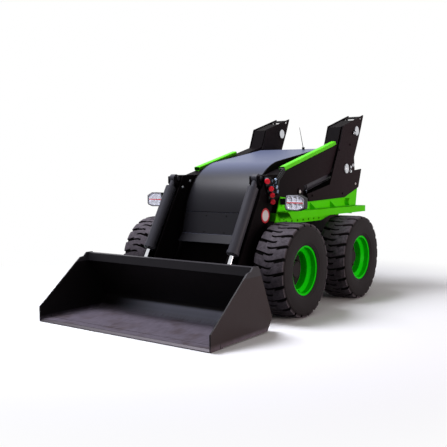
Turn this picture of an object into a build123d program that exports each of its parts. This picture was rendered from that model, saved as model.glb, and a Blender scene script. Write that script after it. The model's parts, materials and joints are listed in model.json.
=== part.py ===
"""Cabless electric skid steer loader with a dirt bucket.

Row frame: millimetres, +Z up, the machine faces -Y and its own left side is +X.
The origin is on the floor, midway between the bucket's cutting edge and the rear of the towers.
Side views are drawn in (y, z). Left-hand pieces are modelled and the right-hand ones are their mirror image.
"""
import os
from math import atan2, cos, degrees, hypot, pi, radians, sin

from build123d import *

os.makedirs("parts", exist_ok=True)

# ---- running gear -------------------------------------------------------------------------------
wheelbase = 1144.0
track = 1500.0                  # between the middles of the left and right tyres
tyre_diameter = 830.0
tyre_width = 310.0
tread_width = 280.0
tyre_wall = 20.0
rim_seat_diameter = 419.0
rim_width = 248.0               # between the flanges
rim_flange_height = 13.0
rim_well_depth = 32.0
rim_sheet = 8.0
disc_thickness = 12.0
hub_pilot_diameter = 150.0
hub_flange_diameter = 270.0
hub_nose = 52.0                 # how far the hub stands out of the tyre's middle plane
stud_circle_diameter = 203.0
stud_count = 8
spindle_diameter = 90.0
axle_housing_diameter = 168.0

# ---- where the machine ends, front and back -------------------------------------------------------
front_reach = 1420.0            # front axle to cutting edge
rear_reach = 746.0              # rear axle to the towers' rear corner
overall_length = front_reach + wheelbase + rear_reach
front_axle_y = front_reach - overall_length / 2
rear_axle_y = front_axle_y + wheelbase
axle_z = tyre_diameter / 2

# ---- stack of plates across each side, from the middle outwards ------------------------------------
hood_half_width = 368.0
body_plate = 10.0
seat_gap = 0.3                  # between a bolted-on cover and what it sits against
tower_plate = 10.0
arm_width = 140.0
arm_plate = 12.0
arm_side_gap = 8.0              # arm to the tower's inner plate, and to the green side plate
side_plate = 8.0
body_outer_x = hood_half_width + seat_gap + body_plate
arm_inner_x = body_outer_x + tower_plate + arm_side_gap
arm_outer_x = arm_inner_x + arm_width
arm_middle_x = (arm_inner_x + arm_outer_x) / 2
side_inner_x = arm_outer_x + arm_side_gap
side_outer_x = side_inner_x + side_plate
tower_outer_x = side_outer_x + tower_plate

# ---- pins of the linkage, in (y, z) ---------------------------------------------------------------
lift_pivot = (rear_axle_y + 568.0, 1716.0)
lift_base_pin = (lift_pivot[0] - 242.0, lift_pivot[1] - 409.0)
lift_rod_pin = (front_axle_y + 505.0, 1084.0)
tilt_base_pin = (front_axle_y - 141.0, 1212.0)
tilt_rod_pin = (front_axle_y - 607.0, 396.0)
bucket_pin = (front_axle_y - 462.0, 190.0)
pivot_pin_diameter = 50.0
cylinder_pin_diameter = 38.0
pin_clearance = 0.08            # on the radius, wherever something turns on a pin or slides in a gland
pin_head_diameter = 100.0
pin_head_thickness = 9.0

# ---- cylinders ------------------------------------------------------------------------------------
lift_barrel_diameter = 90.0
lift_rod_diameter = 45.0
tilt_barrel_diameter = 100.0
tilt_rod_diameter = 40.0
barrel_wall = 9.0
piston_clearance = 0.3
eye_width = 54.0
eye_radius = 40.0
ear_plate = 12.0
ear_gap = 5.0                   # each side of an eye
clevis_plate = 18.0             # each ear that holds a tilt cylinder's base
foot_gap = 8.0                  # arm to the coupler's ears

# ---- body -----------------------------------------------------------------------------------------
belly_z = 230.0
case_top_z = 640.0
tub_top_z = 620.0
tub_wall = 12.0
side_bottom_z = 850.0
ledge_x = 680.0
tyre_top_gap = 18.0             # tyre to the step ledge above it
ledge_height = 64.0
ledge_bottom_z = tyre_diameter + tyre_top_gap
ledge_top_z = ledge_bottom_z + ledge_height
sheet = 6.0
side_proud = 3.0                # body sides above the hood's line
door_thickness = 40.0
door_gap = 8.0

# ---- bucket ---------------------------------------------------------------------------------------
bucket_width = 1830.0
bucket_height = 545.0
bucket_sheet = 8.0
bucket_side = 12.0
edge_width = 152.0
edge_thickness = 17.0
ground_gap = 3.0                # under the parked bucket


# ---- helpers --------------------------------------------------------------------------------------
def from_axle(points):
    """Side-view points given as (distance behind the front axle, height), in the row frame."""
    return [(front_axle_y + y, z) for y, z in points]


def outline(points, radius=0.0):
    """A closed side-view face in (y, z), its corners rounded by radius."""
    face = make_face(Polyline(*[(y, z) for y, z in points], close=True))
    return fillet(face.vertices(), radius) if radius else face


def across(face, x_low, x_high):
    """A side-view face made solid from x_low to x_high."""
    return extrude(Plane.YZ.offset(x_low) * face, amount=x_high - x_low)


def disc(centre, radius, x_low, x_high):
    """A round bar lying along X at a side-view point."""
    return across(Pos(centre[0], centre[1]) * Circle(radius), x_low, x_high)


def block(x_low, x_high, y_low, y_high, z_low, z_high):
    size = (x_high - x_low, y_high - y_low, z_high - z_low)
    middle = ((x_low + x_high) / 2, (y_low + y_high) / 2, (z_low + z_high) / 2)
    return Pos(*middle) * Box(*size)


def ring_of(face, wall):
    """The rim of a side-view face, as thick as a welded plate."""
    return face - offset(face, amount=-wall, kind=Kind.INTERSECTION)


def mirrored(shape):
    return mirror(shape, about=Plane.YZ)


def both_sides(name, shape, made):
    made[name + "_left"] = shape
    made[name + "_right"] = mirrored(shape)


def along(start, end):
    """Unit vector from one side-view point to another, the distance, and the normal on its rear side."""
    dy, dz = end[0] - start[0], end[1] - start[1]
    length = hypot(dy, dz)
    unit = (dy / length, dz / length)
    return unit, length, (-unit[1], unit[0])


def at(start, unit, normal, t, n=0.0):
    """The side-view point t along a line and n off it."""
    return (start[0] + t * unit[0] + n * normal[0], start[1] + t * unit[1] + n * normal[1])


def bar(start, end, radius, x):
    """A round bar between two side-view points at one x."""
    unit, length, _ = along(start, end)
    plane = Plane(origin=(x, start[0], start[1]), x_dir=(1, 0, 0), z_dir=(0, unit[0], unit[1]))
    return extrude(plane * Circle(radius), amount=length)


made = {}

# ---- wheels ---------------------------------------------------------------------------------------
# Sections are drawn in (x, r) about the axle, with x = 0 in the tyre's middle plane and +x outwards.


def turned(section):
    """Turns an (x, r) section about the X axis."""
    return revolve(Plane.XZ * section, axis=Axis.X)


def tyre_section():
    crown, shoulder = tyre_diameter / 2, tyre_diameter / 2 - 13
    seat = rim_seat_diameter / 2
    bead_x, belly_r = rim_width / 2 - 4, (seat + shoulder) / 2
    half, tread = tyre_width / 2, tread_width / 2
    wall = tyre_wall
    outer = (
        Line((bead_x - 2, seat), (bead_x - 2, seat + rim_flange_height))
        + Line((bead_x - 2, seat + rim_flange_height), (bead_x + 14, seat + rim_flange_height + 12))
        + ThreePointArc((bead_x + 14, seat + rim_flange_height + 12), (half, belly_r), (tread, shoulder))
        + Line((tread, shoulder), (tread - 34, crown))
        + Line((tread - 34, crown), (-tread + 34, crown))
        + Line((-tread + 34, crown), (-tread, shoulder))
        + ThreePointArc((-tread, shoulder), (-half, belly_r), (-bead_x - 14, seat + rim_flange_height + 12))
        + Line((-bead_x - 14, seat + rim_flange_height + 12), (-bead_x + 2, seat + rim_flange_height))
        + Line((-bead_x + 2, seat + rim_flange_height), (-bead_x + 2, seat))
    )
    toe = bead_x - 2 - 1.4 * wall
    cavity = [(-bead_x + 2, seat), (-toe, seat), (-half + wall, belly_r), (-tread + wall, shoulder - 2.2 * wall)]
    cavity += [(-x, r) for x, r in reversed(cavity[1:])] + [(bead_x - 2, seat)]
    return make_face(outer + Polyline(*cavity))


def rim_section():
    seat, edge, half = rim_seat_diameter / 2, rim_seat_diameter / 2 + rim_flange_height, rim_width / 2
    well = seat - rim_well_depth
    top = [(-half - 7, edge), (-half - 7 + rim_sheet, edge), (-half - 3 + rim_sheet, seat), (-half + 36, seat - 2)]
    top += [(-half + 62, well), (half - 62, well), (half - 36, seat - 2), (half + 3 - rim_sheet, seat)]
    top += [(half + 7 - rim_sheet, edge), (half + 7, edge)]
    low = [(half + 3, seat - rim_sheet), (half - 40, seat - 2 - rim_sheet), (half - 66, well - rim_sheet)]
    low += [(-x, r) for x, r in reversed(low)]
    return make_face(Polyline(*top, *low, close=True))


disc_outer_x = -2.0              # the disc's outboard face, from the tyre's middle plane
disc_inner_x = disc_outer_x - disc_thickness
well_radius = rim_seat_diameter / 2 - rim_well_depth - rim_sheet
stud_angles = [360.0 * k / stud_count for k in range(stud_count)]


def on_stud_circle(shape):
    """Copies of a shape that lies on the X axis, round the stud circle."""
    radius = stud_circle_diameter / 2
    return [Pos(0, radius * cos(radians(a)), radius * sin(radians(a))) * shape for a in stud_angles]


def along_x(radius, x_low, x_high):
    return extrude(Plane.YZ.offset(x_low) * Circle(radius), amount=x_high - x_low)


def make_rim():
    """Drop-centre rim with its welded disc, hand holes and stud holes."""
    plate = along_x(well_radius + 1, disc_inner_x, disc_outer_x)
    plate -= along_x(hub_pilot_diameter / 2 + pin_clearance, disc_inner_x, disc_outer_x)
    for hole in on_stud_circle(along_x(8.5, disc_inner_x, disc_outer_x)):
        plate -= hole
    valve = Pos(rim_width / 2 - 52, 0, 0) * Cylinder(8, 2 * tyre_diameter, align=(Align.CENTER, Align.CENTER, Align.MAX))
    return turned(rim_section()) + plate - valve


def make_hub():
    """Turning hub: flange behind the disc, pilot through it, studs with nuts, and the spindle into the axle housing."""
    hub = along_x(hub_flange_diameter / 2, disc_inner_x - 20, disc_inner_x)
    nose = along_x(hub_pilot_diameter / 2, disc_inner_x, hub_nose)
    hub += chamfer(nose.faces().sort_by(Axis.X)[-1].edges(), 9)
    hub += along_x(spindle_diameter / 2, disc_inner_x - 20 - 90, disc_inner_x - 20)
    nut = extrude(Plane.YZ.offset(disc_outer_x) * RegularPolygon(13, 6), amount=14) + along_x(8, disc_inner_x, disc_outer_x + 22)
    for fastener in on_stud_circle(nut):
        hub += fastener
    return hub


wheel_places = {"front_left": (1, front_axle_y), "front_right": (-1, front_axle_y),
                "rear_left": (1, rear_axle_y), "rear_right": (-1, rear_axle_y)}
wheel_pieces = {"tyre": turned(tyre_section()), "rim": make_rim() + make_hub()}
for place, (side, y) in wheel_places.items():
    for piece, shape in wheel_pieces.items():
        placed = Pos(track / 2, y, axle_z) * shape
        made[f"{piece}_{place}"] = placed if side > 0 else mirrored(placed)

# ---- chassis --------------------------------------------------------------------------------------
case_outer_x = track / 2 - tyre_width / 2 - 15
housing_end_x = track / 2 + disc_inner_x - 20 - 8
rear_face_y = rear_axle_y + 585.0
front_face_y = front_axle_y - 150.0


tie_hole_diameter = 40.0
tie_plate = (300.0, 320.0)      # inner and outer face of each rear lug
tie_centre = (rear_face_y + 4.0, 420.0)


def make_tie_down():
    """Welded lug with a round hole, at the rear of the tub."""
    y, z = tie_centre
    plate = outline([(y - 22, z - 76), (y + 10, z - 60), (y + 42, z - 22), (y + 42, z + 22), (y + 10, z + 60), (y - 22, z + 76)])
    return across(plate, *tie_plate) - disc(tie_centre, tie_hole_diameter / 2, *tie_plate)


def make_tub():
    """Lower frame: an open-topped welded box between the wheels, with a drive case along each side."""
    box_side = from_axle([(-150, belly_z + 60), (-90, belly_z), (wheelbase + 480, belly_z), (wheelbase + 575, belly_z + 110)])
    box_side += [(rear_face_y - door_thickness - door_gap, tub_top_z), (front_axle_y - 130, tub_top_z)]
    whole = outline(box_side)
    tub = across(whole, -body_outer_x, body_outer_x)
    tub -= across(offset(whole, amount=-tub_wall, kind=Kind.INTERSECTION), -body_outer_x + tub_wall, body_outer_x - tub_wall)
    tub -= block(-body_outer_x + 40, body_outer_x - 40, front_axle_y - 60, rear_axle_y + 480, tub_top_z - 20, tub_top_z + 10)
    case = outline(from_axle([(-215, belly_z + 30), (-185, belly_z), (wheelbase + 185, belly_z), (wheelbase + 235, belly_z + 60),
                              (wheelbase + 235, case_top_z - 60), (wheelbase + 180, case_top_z), (-20, case_top_z)]))
    cases = across(case, body_outer_x, case_outer_x)
    lug = make_tie_down()
    frame = tub + cases + mirrored(cases) + lug + mirrored(lug)
    for housing in make_axle_housings():
        frame += housing
    return frame


def make_axle_housings():
    """Four housings that stand out of the drive cases and carry the hubs' spindles."""
    housings = []
    for y in (front_axle_y, rear_axle_y):
        centre = (y, axle_z)
        body = disc(centre, axle_housing_diameter / 2, case_outer_x, housing_end_x)
        body += disc(centre, axle_housing_diameter / 2 + 28, case_outer_x, case_outer_x + 14)
        body -= disc(centre, spindle_diameter / 2 + pin_clearance, housing_end_x - 86, housing_end_x)
        housings += [body, mirrored(body)]
    return housings


made["chassis_tub"] = make_tub()

# ---- hood and body sides ----------------------------------------------------------------------------
# The hood's line, from the rear of the top to the foot of the front, behind the front axle and above the floor.
hood_rear = rear_face_y - door_thickness - door_gap - 4
hood_line = from_axle([(1250, 1515), (403, 1375), (-89, 900), (-147, 686)])


def hood_wire(points):
    """Straight top, a tangent round nose, and a straight front."""
    rear, start, end, foot = points
    return Polyline((hood_rear, rear[1] + 12), rear, start) + nose_arc(start, end, rear) + Line(end, foot)


def nose_arc(start, end, rear):
    """The round nose leaves the top along its slope and comes down to the front panel's head."""
    return TangentArc(start, end, tangent=(start[0] - rear[0], start[1] - rear[1]))


def hood_area(grow=0.0):
    """Everything under the hood's line."""
    points = hood_line
    line = hood_wire(points)
    area = make_face(line + Polyline(points[3], (hood_rear, points[3][1]), (hood_rear, points[0][1] + 12)))
    return offset(area, amount=grow, kind=Kind.INTERSECTION) if grow else area


def make_hood():
    """Curved top cover, one bent sheet from the rear edge down to the front panel."""
    whole = hood_area()
    inner = hood_area(-sheet)
    shell = across(whole - inner, -hood_half_width, hood_half_width)
    keep_above = block(-hood_half_width, hood_half_width, front_axle_y - 400, hood_rear - sheet - 1, 902, 1700)
    return shell & keep_above


def make_front_panel():
    """Lower front cover under the hood's seam, with the folded lip at its foot."""
    whole = hood_area()
    shell = across(whole - hood_area(-sheet), -hood_half_width, hood_half_width)
    panel = shell & block(-hood_half_width, hood_half_width, front_axle_y - 400, front_axle_y + 60, 690, 897)
    foot = hood_line[3]
    lip = outline([(foot[0] - 4, foot[1] + 12), (foot[0] - 58, foot[1] - 60), (foot[0] - 52, foot[1] - 66),
                   (foot[0] + 20, foot[1] - 66), (foot[0] + 20, foot[1] - 56), (foot[0] - 42, foot[1] - 56), (foot[0] + 5, foot[1] + 12)])
    return panel + across(lip, -hood_half_width, hood_half_width)


door_hinge = (-(hood_half_width - 31.0), rear_face_y - door_thickness / 2)
door_bottom_z, door_top_z = 640.0, 1500.0
hinge_pin_diameter = 16.0
hinge_pin_reach = 24.0


def make_body_side():
    """Side wall of the body, which stands a little proud of the hood along its edge."""
    foot = hood_line[3]
    limit = outline([(front_axle_y - 400, tub_top_z), (hood_rear, tub_top_z), (hood_rear, 1800), (front_axle_y - 400, 1800)])
    skirt = outline([(foot[0] - 10, tub_top_z), (hood_rear, tub_top_z), (hood_rear, foot[1] + 60), (foot[0] - 25, foot[1] + 60)])
    return across((hood_area(side_proud) & limit) + skirt, hood_half_width + seat_gap, body_outer_x)


def make_door_hinges():
    """Two brackets welded to the right-hand body side, each with a pintle that stands into the door."""
    x, y = door_hinge
    plates = []
    for z, up in ((door_bottom_z - seat_gap - 8, 1), (door_top_z + seat_gap, -1)):
        plate = block(-body_outer_x, x + 16, hood_rear - 60, y + 15, z, z + 8)
        plate += Pos(x, y, z + 4 + up * (4 + hinge_pin_reach) / 2) * Cylinder(hinge_pin_diameter / 2, 4 + hinge_pin_reach)
        plates.append(plate)
    return plates[0] + plates[1]


made["hood"] = make_hood()
made["front_panel"] = make_front_panel()
body_side = make_body_side()
made["body_side_left"] = body_side
made["body_side_right"] = mirrored(body_side) + make_door_hinges()

# ---- rear door, battery -------------------------------------------------------------------------------


def make_rear_door():
    """Pan-shaped rear door with cooling slots, hinged at the right-hand side."""
    half = hood_half_width - 14
    front, back = rear_face_y - door_thickness, rear_face_y
    door = block(-half, half, front, back, door_bottom_z, door_top_z)
    door -= block(-half + sheet, half - sheet, front, back - sheet, door_bottom_z + sheet, door_top_z - sheet)
    x, y = door_hinge
    for z in (door_bottom_z, door_top_z - 30):
        door += Pos(x, y, z + 15) * Cylinder(14, 30)
        door -= Pos(x, y, z + 15) * Cylinder(hinge_pin_diameter / 2 + pin_clearance, 30)
    slot = block(-half + 90, half - 90, back - sheet, back, -9, 9)
    for k in range(7):
        door -= Pos(0, 0, door_top_z - 420 + 42 * k) * slot
    return door


made["rear_door"] = make_rear_door()
battery_size = (710.0, 900.0, 560.0)
battery_seat = 0.3
made["battery_pack"] = Pos(0, rear_axle_y + 20, tub_top_z + battery_seat + battery_size[2] / 2) * Box(*battery_size)

# ---- green side frames ----------------------------------------------------------------------------------


skirt_holes = from_axle([(238 + 107 * k, 814) for k in range(7)])


def make_side_frame():
    """Upright side plate, step ledge with its folded lip, gussets, and the cross plates that tie it to the body."""
    upright = outline(from_axle([(36, 806), (92, 950), (134, 1046), (420, 1012), (640, 1000), (1439, 1010), (1700, 1080),
                                 (1775, 1100), (1740, 905), (1690, 862), (wheelbase + 80, 850), (1110, 828), (930, 790),
                                 (600, 790)]), 8)
    frame = across(upright, side_inner_x, side_outer_x)
    for hole in skirt_holes:
        frame -= disc(hole, 11, side_inner_x, side_outer_x)
    ledge_y = (front_axle_y + 60, front_axle_y + 1708)
    frame += block(side_outer_x, ledge_x, *ledge_y, ledge_top_z - 8, ledge_top_z)
    lip = outline([(ledge_y[0] + 62, ledge_bottom_z), (ledge_y[1], ledge_bottom_z), (ledge_y[1], ledge_top_z), (ledge_y[0], ledge_top_z)])
    frame += across(lip, ledge_x - 8, ledge_x)
    for y in (front_axle_y + 690, front_axle_y + 1120):
        gusset = Plane.XZ.offset(-y) * make_face(Polyline(
            (side_outer_x, ledge_top_z), (side_outer_x + 70, ledge_top_z), (side_outer_x, ledge_top_z + 66), close=True))
        frame += extrude(gusset, amount=-10)
    for y_low, y_high in ((70, 84), (640, 654), (1300, 1314), (1650, 1664)):
        frame += block(body_outer_x, side_inner_x, front_axle_y + y_low, front_axle_y + y_high, 822, 990 if y_low > 100 else 900)
    boss = disc((front_axle_y + 1500, 955), 38, side_outer_x, side_outer_x + 46)
    return frame + boss


both_sides("side_frame", make_side_frame(), made)

# ---- towers -----------------------------------------------------------------------------------------------
pivot_y, pivot_z = lift_pivot


def from_pivot(points):
    """Side-view points given from the lift pivot."""
    return [(pivot_y + y, pivot_z + z) for y, z in points]


tower_rear_line = [(184, 184), (118, 30), (30, -144), (-45, -284), (-28, -426), (145, -410), (73, -611)]
tower_front_line = [(-619, -574), (-486, -316), (-389, -137), (-320, 38)]


def make_outer_plate():
    """Outer tower plate, which reaches forward over the side frame as far as the lamp."""
    nose = from_axle([(1439, 1003), (652, 984), (618, 1058)])
    return across(outline(from_pivot(tower_rear_line) + nose + from_pivot(tower_front_line), 6), side_outer_x, tower_outer_x)


def make_inner_plate():
    foot = [(rear_face_y - 60, 990), (front_axle_y + 980, 990)]
    return across(outline(from_pivot(tower_rear_line[:-1]) + [(rear_face_y - 60, 1110)] + foot + from_pivot(tower_front_line), 6),
                  body_outer_x, body_outer_x + tower_plate)


def make_tower_web():
    """Cross plates between a tower's two side plates: one at the rear, and a cover in front of the tip."""
    low_y = front_axle_y + 1700
    web = block(body_outer_x + tower_plate, side_outer_x, low_y, low_y + 10, 1100, 1260)
    cover = outline(from_pivot([(150, 166), (52, 138), (54, 130), (152, 158)]))
    return web + across(cover, body_outer_x + tower_plate, side_outer_x)


def pin_hole(plate, pin, diameter):
    x_low, x_high = plate.bounding_box().min.X, plate.bounding_box().max.X
    return plate - disc(pin, diameter / 2, x_low, x_high)


def with_holes(plate):
    """Holes for the two pins, and the lashing hole by the tip."""
    plate = pin_hole(pin_hole(plate, lift_pivot, pivot_pin_diameter), lift_base_pin, cylinder_pin_diameter)
    return pin_hole(plate, lashing_hole, 30)


lashing_hole = from_pivot([(108, 136)])[0]
outer_plate, inner_plate = with_holes(make_outer_plate()), with_holes(make_inner_plate())
both_sides("tower_outer_plate", outer_plate, made)
both_sides("tower_inner_plate", inner_plate + make_tower_web(), made)


def headed_pin(pin, diameter, x_low, x_high):
    """A pin held in the plates at its ends, with a round retaining head outside."""
    return disc(pin, diameter / 2, x_low, x_high) + disc(pin, pin_head_diameter / 2, x_high, x_high + pin_head_thickness)


inner_head = disc(lift_pivot, pin_head_diameter / 2, body_outer_x - pin_head_thickness, body_outer_x)
tower_pins = [headed_pin(lift_pivot, pivot_pin_diameter, body_outer_x, tower_outer_x) + inner_head,
              headed_pin(lift_base_pin, cylinder_pin_diameter, body_outer_x, tower_outer_x)]
made["tower_pins"] = Compound(children=tower_pins + [mirrored(p) for p in tower_pins])

# ---- lift arms ----------------------------------------------------------------------------------------------
tilt_unit, tilt_length, tilt_normal = along(tilt_base_pin, tilt_rod_pin)
tilt_normal = (-tilt_normal[0], -tilt_normal[1]) if tilt_normal[0] < 0 else tilt_normal
lift_unit, lift_length, lift_normal = along(lift_base_pin, lift_rod_pin)


def on_leg(t, n):
    """A side-view point t down the tilt cylinder's line and n behind it."""
    return at(tilt_base_pin, tilt_unit, tilt_normal, t, n)


beam_front = (front_axle_y + 120, 1246.0)
beam_rear = (pivot_y - 409, pivot_z - 163)
upright_top = from_pivot([(-327, 26), (-30, 112), (62, 122), (105, 40)])
upright_back = from_pivot([(80, -61), (-97, -151), (-407, -319)])
beam_under_rear = (front_axle_y + 1129, 1290.0)
beam_under_front = (front_axle_y + 480, 1152.0)
plate_under_rear = (front_axle_y + 1129, 1254.0)
plate_under_front = (front_axle_y + 600, 1140.0)
leg_back = [on_leg(110, 262), on_leg(640, 300), on_leg(1046, 300)]
leg_foot = [on_leg(1112, 268), on_leg(1112, 196), on_leg(1070, 168)]
leg_front = [on_leg(960, 128), on_leg(800, 33), on_leg(64, 34)]
leg_web_front = [on_leg(1010, 215), on_leg(731, 180), on_leg(70, 95)]
knuckle = from_axle([(-112, 1196), (-96, 1236), (-60, 1245)])
knuckle_web = knuckle[-1:]
clevis = from_axle([(-172, 1232), (-60, 1243), (-55, 1215), (-82, 1116), (-118, 1112), (-172, 1168)])
boss_length = 26.0
pin_cap_radius = 22.0


clevis_half_width = eye_width / 2 + ear_gap + clevis_plate


def on_both_plates(centre, radius):
    """A boss inside each side plate of the arm, round one pin."""
    inner = disc(centre, radius, arm_inner_x + arm_plate, arm_inner_x + arm_plate + boss_length)
    return inner + disc(centre, radius, arm_outer_x - arm_plate - boss_length, arm_outer_x - arm_plate)


def make_arm():
    """One lift arm: two full side plates and the closed box between them, with bosses at its pins.
    The leg is a channel, open to the front, that the tilt cylinder lies in."""
    shared_top = [beam_front, beam_rear] + upright_top + upright_back
    box_line = outline(shared_top + [beam_under_rear, beam_under_front] + leg_back + leg_foot[:1] + leg_web_front + knuckle_web)
    lug = [plate_under_rear, plate_under_front, (front_axle_y + 580, 1050), (front_axle_y + 505, 1030), (front_axle_y + 440, 1050)]
    plate_line = outline(shared_top + lug + leg_back + leg_foot + leg_front + knuckle)
    arm = across(ring_of(box_line, arm_plate), arm_inner_x, arm_outer_x)
    arm += across(plate_line, arm_inner_x, arm_inner_x + arm_plate)
    arm += across(plate_line, arm_outer_x - arm_plate, arm_outer_x)
    arm += disc(lift_pivot, 66, arm_inner_x, arm_outer_x)
    arm += on_both_plates(bucket_pin, 56)
    for x in (arm_middle_x - clevis_half_width, arm_middle_x + clevis_half_width - clevis_plate):
        arm += across(outline(clevis, 4), x, x + clevis_plate)
    arm -= disc(lift_pivot, pivot_pin_diameter / 2 + pin_clearance, arm_inner_x, arm_outer_x)
    arm -= disc(bucket_pin, cylinder_pin_diameter / 2 + pin_clearance, arm_inner_x, arm_outer_x)
    arm -= disc(tilt_base_pin, cylinder_pin_diameter / 2, arm_middle_x - clevis_half_width, arm_middle_x + clevis_half_width)
    for stub in pin_stubs(lift_rod_pin, arm_inner_x, arm_outer_x, 8.0):
        arm += stub
    return arm


def pin_stubs(pin, x_inner, x_outer, length):
    """The two headed ends of a pin, outside a pair of plates. The stretch between them belongs to the rod's eye."""
    return [disc(pin, 33, x_outer, x_outer + length), disc(pin, 33, x_inner - length, x_inner)]


guard_width = 64.0
guard_height = 42.0
guard_wall = 4.0
guard_ends = {"left": (130.0, 1200.0), "right": (155.0, 840.0)}      # along the top of the beam, from its front
guard_x = arm_outer_x - guard_width / 2


def on_beam(t):
    """A point t along the beam's top, on the guard's middle line."""
    unit, _, normal = along(beam_front, beam_rear)
    normal = normal if normal[1] > 0 else (-normal[0], -normal[1])
    return at(beam_front, unit, normal, t, guard_height / 2)


def make_arm_guard(side):
    """Green guard along the top of the arm, a flattened tube which carries the hydraulic lines."""
    start, end = (on_beam(t) for t in guard_ends[side])
    unit, length, _ = along(start, end)
    plane = Plane(origin=(guard_x, start[0], start[1]), x_dir=(1, 0, 0), z_dir=(0, unit[0], unit[1]))
    inside = RectangleRounded(guard_width - 2 * guard_wall, guard_height - 2 * guard_wall, 10)
    return extrude(plane * (RectangleRounded(guard_width, guard_height, 14) - inside), amount=length)


both_sides("lift_arm", make_arm(), made)
made["arm_tubes"] = Compound(children=[make_arm_guard("left"), mirrored(make_arm_guard("right"))])
cross_middle = on_leg(900, 232)
made["arm_cross_tube"] = across(Pos(*cross_middle) * Circle(58) - Pos(*cross_middle) * Circle(46), -arm_inner_x, arm_inner_x)
arm_pins = disc(tilt_base_pin, cylinder_pin_diameter / 2, arm_middle_x - clevis_half_width, arm_middle_x + clevis_half_width)
for x in (arm_middle_x - clevis_half_width - 5, arm_middle_x + clevis_half_width):
    arm_pins += disc(tilt_base_pin, pin_cap_radius, x, x + 5)
made["tilt_base_pins"] = Compound(children=[arm_pins, mirrored(arm_pins)])

# ---- hydraulic couplers on the left arm -----------------------------------------------------------------------


coupler_places = from_axle([(-143, tyre_diameter + 357), (-78, tyre_diameter + 291), (-57, tyre_diameter + 235), (-48, tyre_diameter + 175)])
coupler_x = arm_outer_x + 48.0   # middle of each cap
coupler_way = (0.62, -0.74, -0.26)
bank_thickness = 14.0
coupler_radius = 16.0
coupler_body = 62.0             # from the bracket's plate to the cap, along the coupler
cap_radius = 23.0
cap_length = 18.0
hose_radius = 7.0
hose_spread = 8.5               # each hose from the guard tube's middle line, both ways
# column and row of each hose in the tube, and where it ends on the bracket
hose_feet = [(-1, 1, (front_axle_y - 6, 1190.0)), (-1, -1, (front_axle_y + 14, 1150.0)),
             (1, 1, (front_axle_y, 1110.0)), (1, -1, (front_axle_y + 18, 1070.0))]


def along_coupler(centre, radius, start, end):
    """A round bar on a coupler's own line, from start to end behind the middle of its cap."""
    plane = Plane(origin=(coupler_x, *centre), z_dir=coupler_way)
    return extrude(plane.offset(-start) * Circle(radius), amount=start - end)


def make_coupler_block():
    """Bracket on the left arm's leg that holds four quick couplers, one under the other, pointing forward and out."""
    plate_x = arm_outer_x + bank_thickness
    line = outline(from_axle([(-118, 1180), (-96, 1226), (-30, 1226), (18, 1170), (30, 1060), (36, 990), (-58, 990), (-66, 1070), (-104, 1140)]), 5)
    bank = across(line, arm_outer_x, plate_x)
    beyond = block(arm_outer_x, plate_x + 200, *(front_axle_y + y for y in (-400, 200)), 900, 1400)
    for centre in coupler_places:
        body = along_coupler(centre, coupler_radius, coupler_body + 30, cap_length / 2)
        body += along_coupler(centre, coupler_radius + 5, 44, 30) + along_coupler(centre, coupler_radius + 5, 24, 13)
        bank += body & beyond
    return bank


def make_coupler_caps():
    caps = [along_coupler(centre, cap_radius, cap_length / 2, -cap_length / 2) for centre in coupler_places]
    return Compound(children=[chamfer(cap.faces().sort_by(Axis((0, 0, 0), coupler_way))[-1].edges(), 4) for cap in caps])


def make_arm_hoses():
    """Four hoses that come out of the left guard tube and run down to the back of the coupler bracket."""
    plate_x = arm_outer_x + bank_thickness
    inside, mouth = on_beam(guard_ends["left"][0] + 80), on_beam(guard_ends["left"][0] - 34)
    hoses = []
    for column, row, foot in hose_feet:
        x, out, rise = guard_x + 8 + column * hose_spread, plate_x + 27 + column * 9, row * hose_spread
        over, turn = (front_axle_y + 150, mouth[1] - 6 + rise), (front_axle_y + 45, mouth[1] - 88 + rise)
        route = FilletPolyline((x, inside[0], inside[1] + rise), (x, mouth[0], mouth[1] + rise), (out, *over), (out, *turn),
                               (out, *foot), (plate_x, *foot), radius=10)
        start = Plane(origin=route @ 0, z_dir=route % 0)
        hoses.append(sweep(start * Circle(hose_radius), path=route))
    return hoses


made["coupler_block"] = make_coupler_block()
made["coupler_caps"] = make_coupler_caps()
made["arm_hoses"] = Compound(children=make_arm_hoses())

# ---- cylinders ------------------------------------------------------------------------------------------------


def make_barrel(start, end, diameter, rod_diameter, tube_from, tube_to):
    """Cylinder barrel: eye on its base pin, closed base, tube, and a gland bored for the rod."""
    unit, _, normal = along(start, end)
    point = lambda t: at(start, unit, normal, t)
    inside = diameter / 2 - barrel_wall
    barrel = bar(point(tube_from), point(tube_to), diameter / 2, arm_middle_x)
    barrel -= bar(point(tube_from + 24), point(tube_to - 36), inside, arm_middle_x)
    barrel -= bar(point(tube_to - 40), point(tube_to), rod_diameter / 2 + pin_clearance, arm_middle_x)
    barrel += disc(start, eye_radius, arm_middle_x - eye_width / 2, arm_middle_x + eye_width / 2)
    barrel += bar(start, point(tube_from + 10), 26, arm_middle_x)
    return barrel - disc(start, cylinder_pin_diameter / 2 + pin_clearance, arm_middle_x - eye_width, arm_middle_x + eye_width)


def make_rod(start, end, diameter, rod_diameter, piston_from):
    """Piston, rod and rod eye. The eye holds its own stretch of the pin."""
    unit, length, normal = along(start, end)
    point = lambda t: at(start, unit, normal, t)
    rod = bar(point(piston_from), point(piston_from + 40), diameter / 2 - barrel_wall - piston_clearance, arm_middle_x)
    rod += bar(point(piston_from + 40), point(length), rod_diameter / 2, arm_middle_x)
    return rod + disc(end, eye_radius - 2, arm_middle_x - eye_width / 2, arm_middle_x + eye_width / 2)


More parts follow.
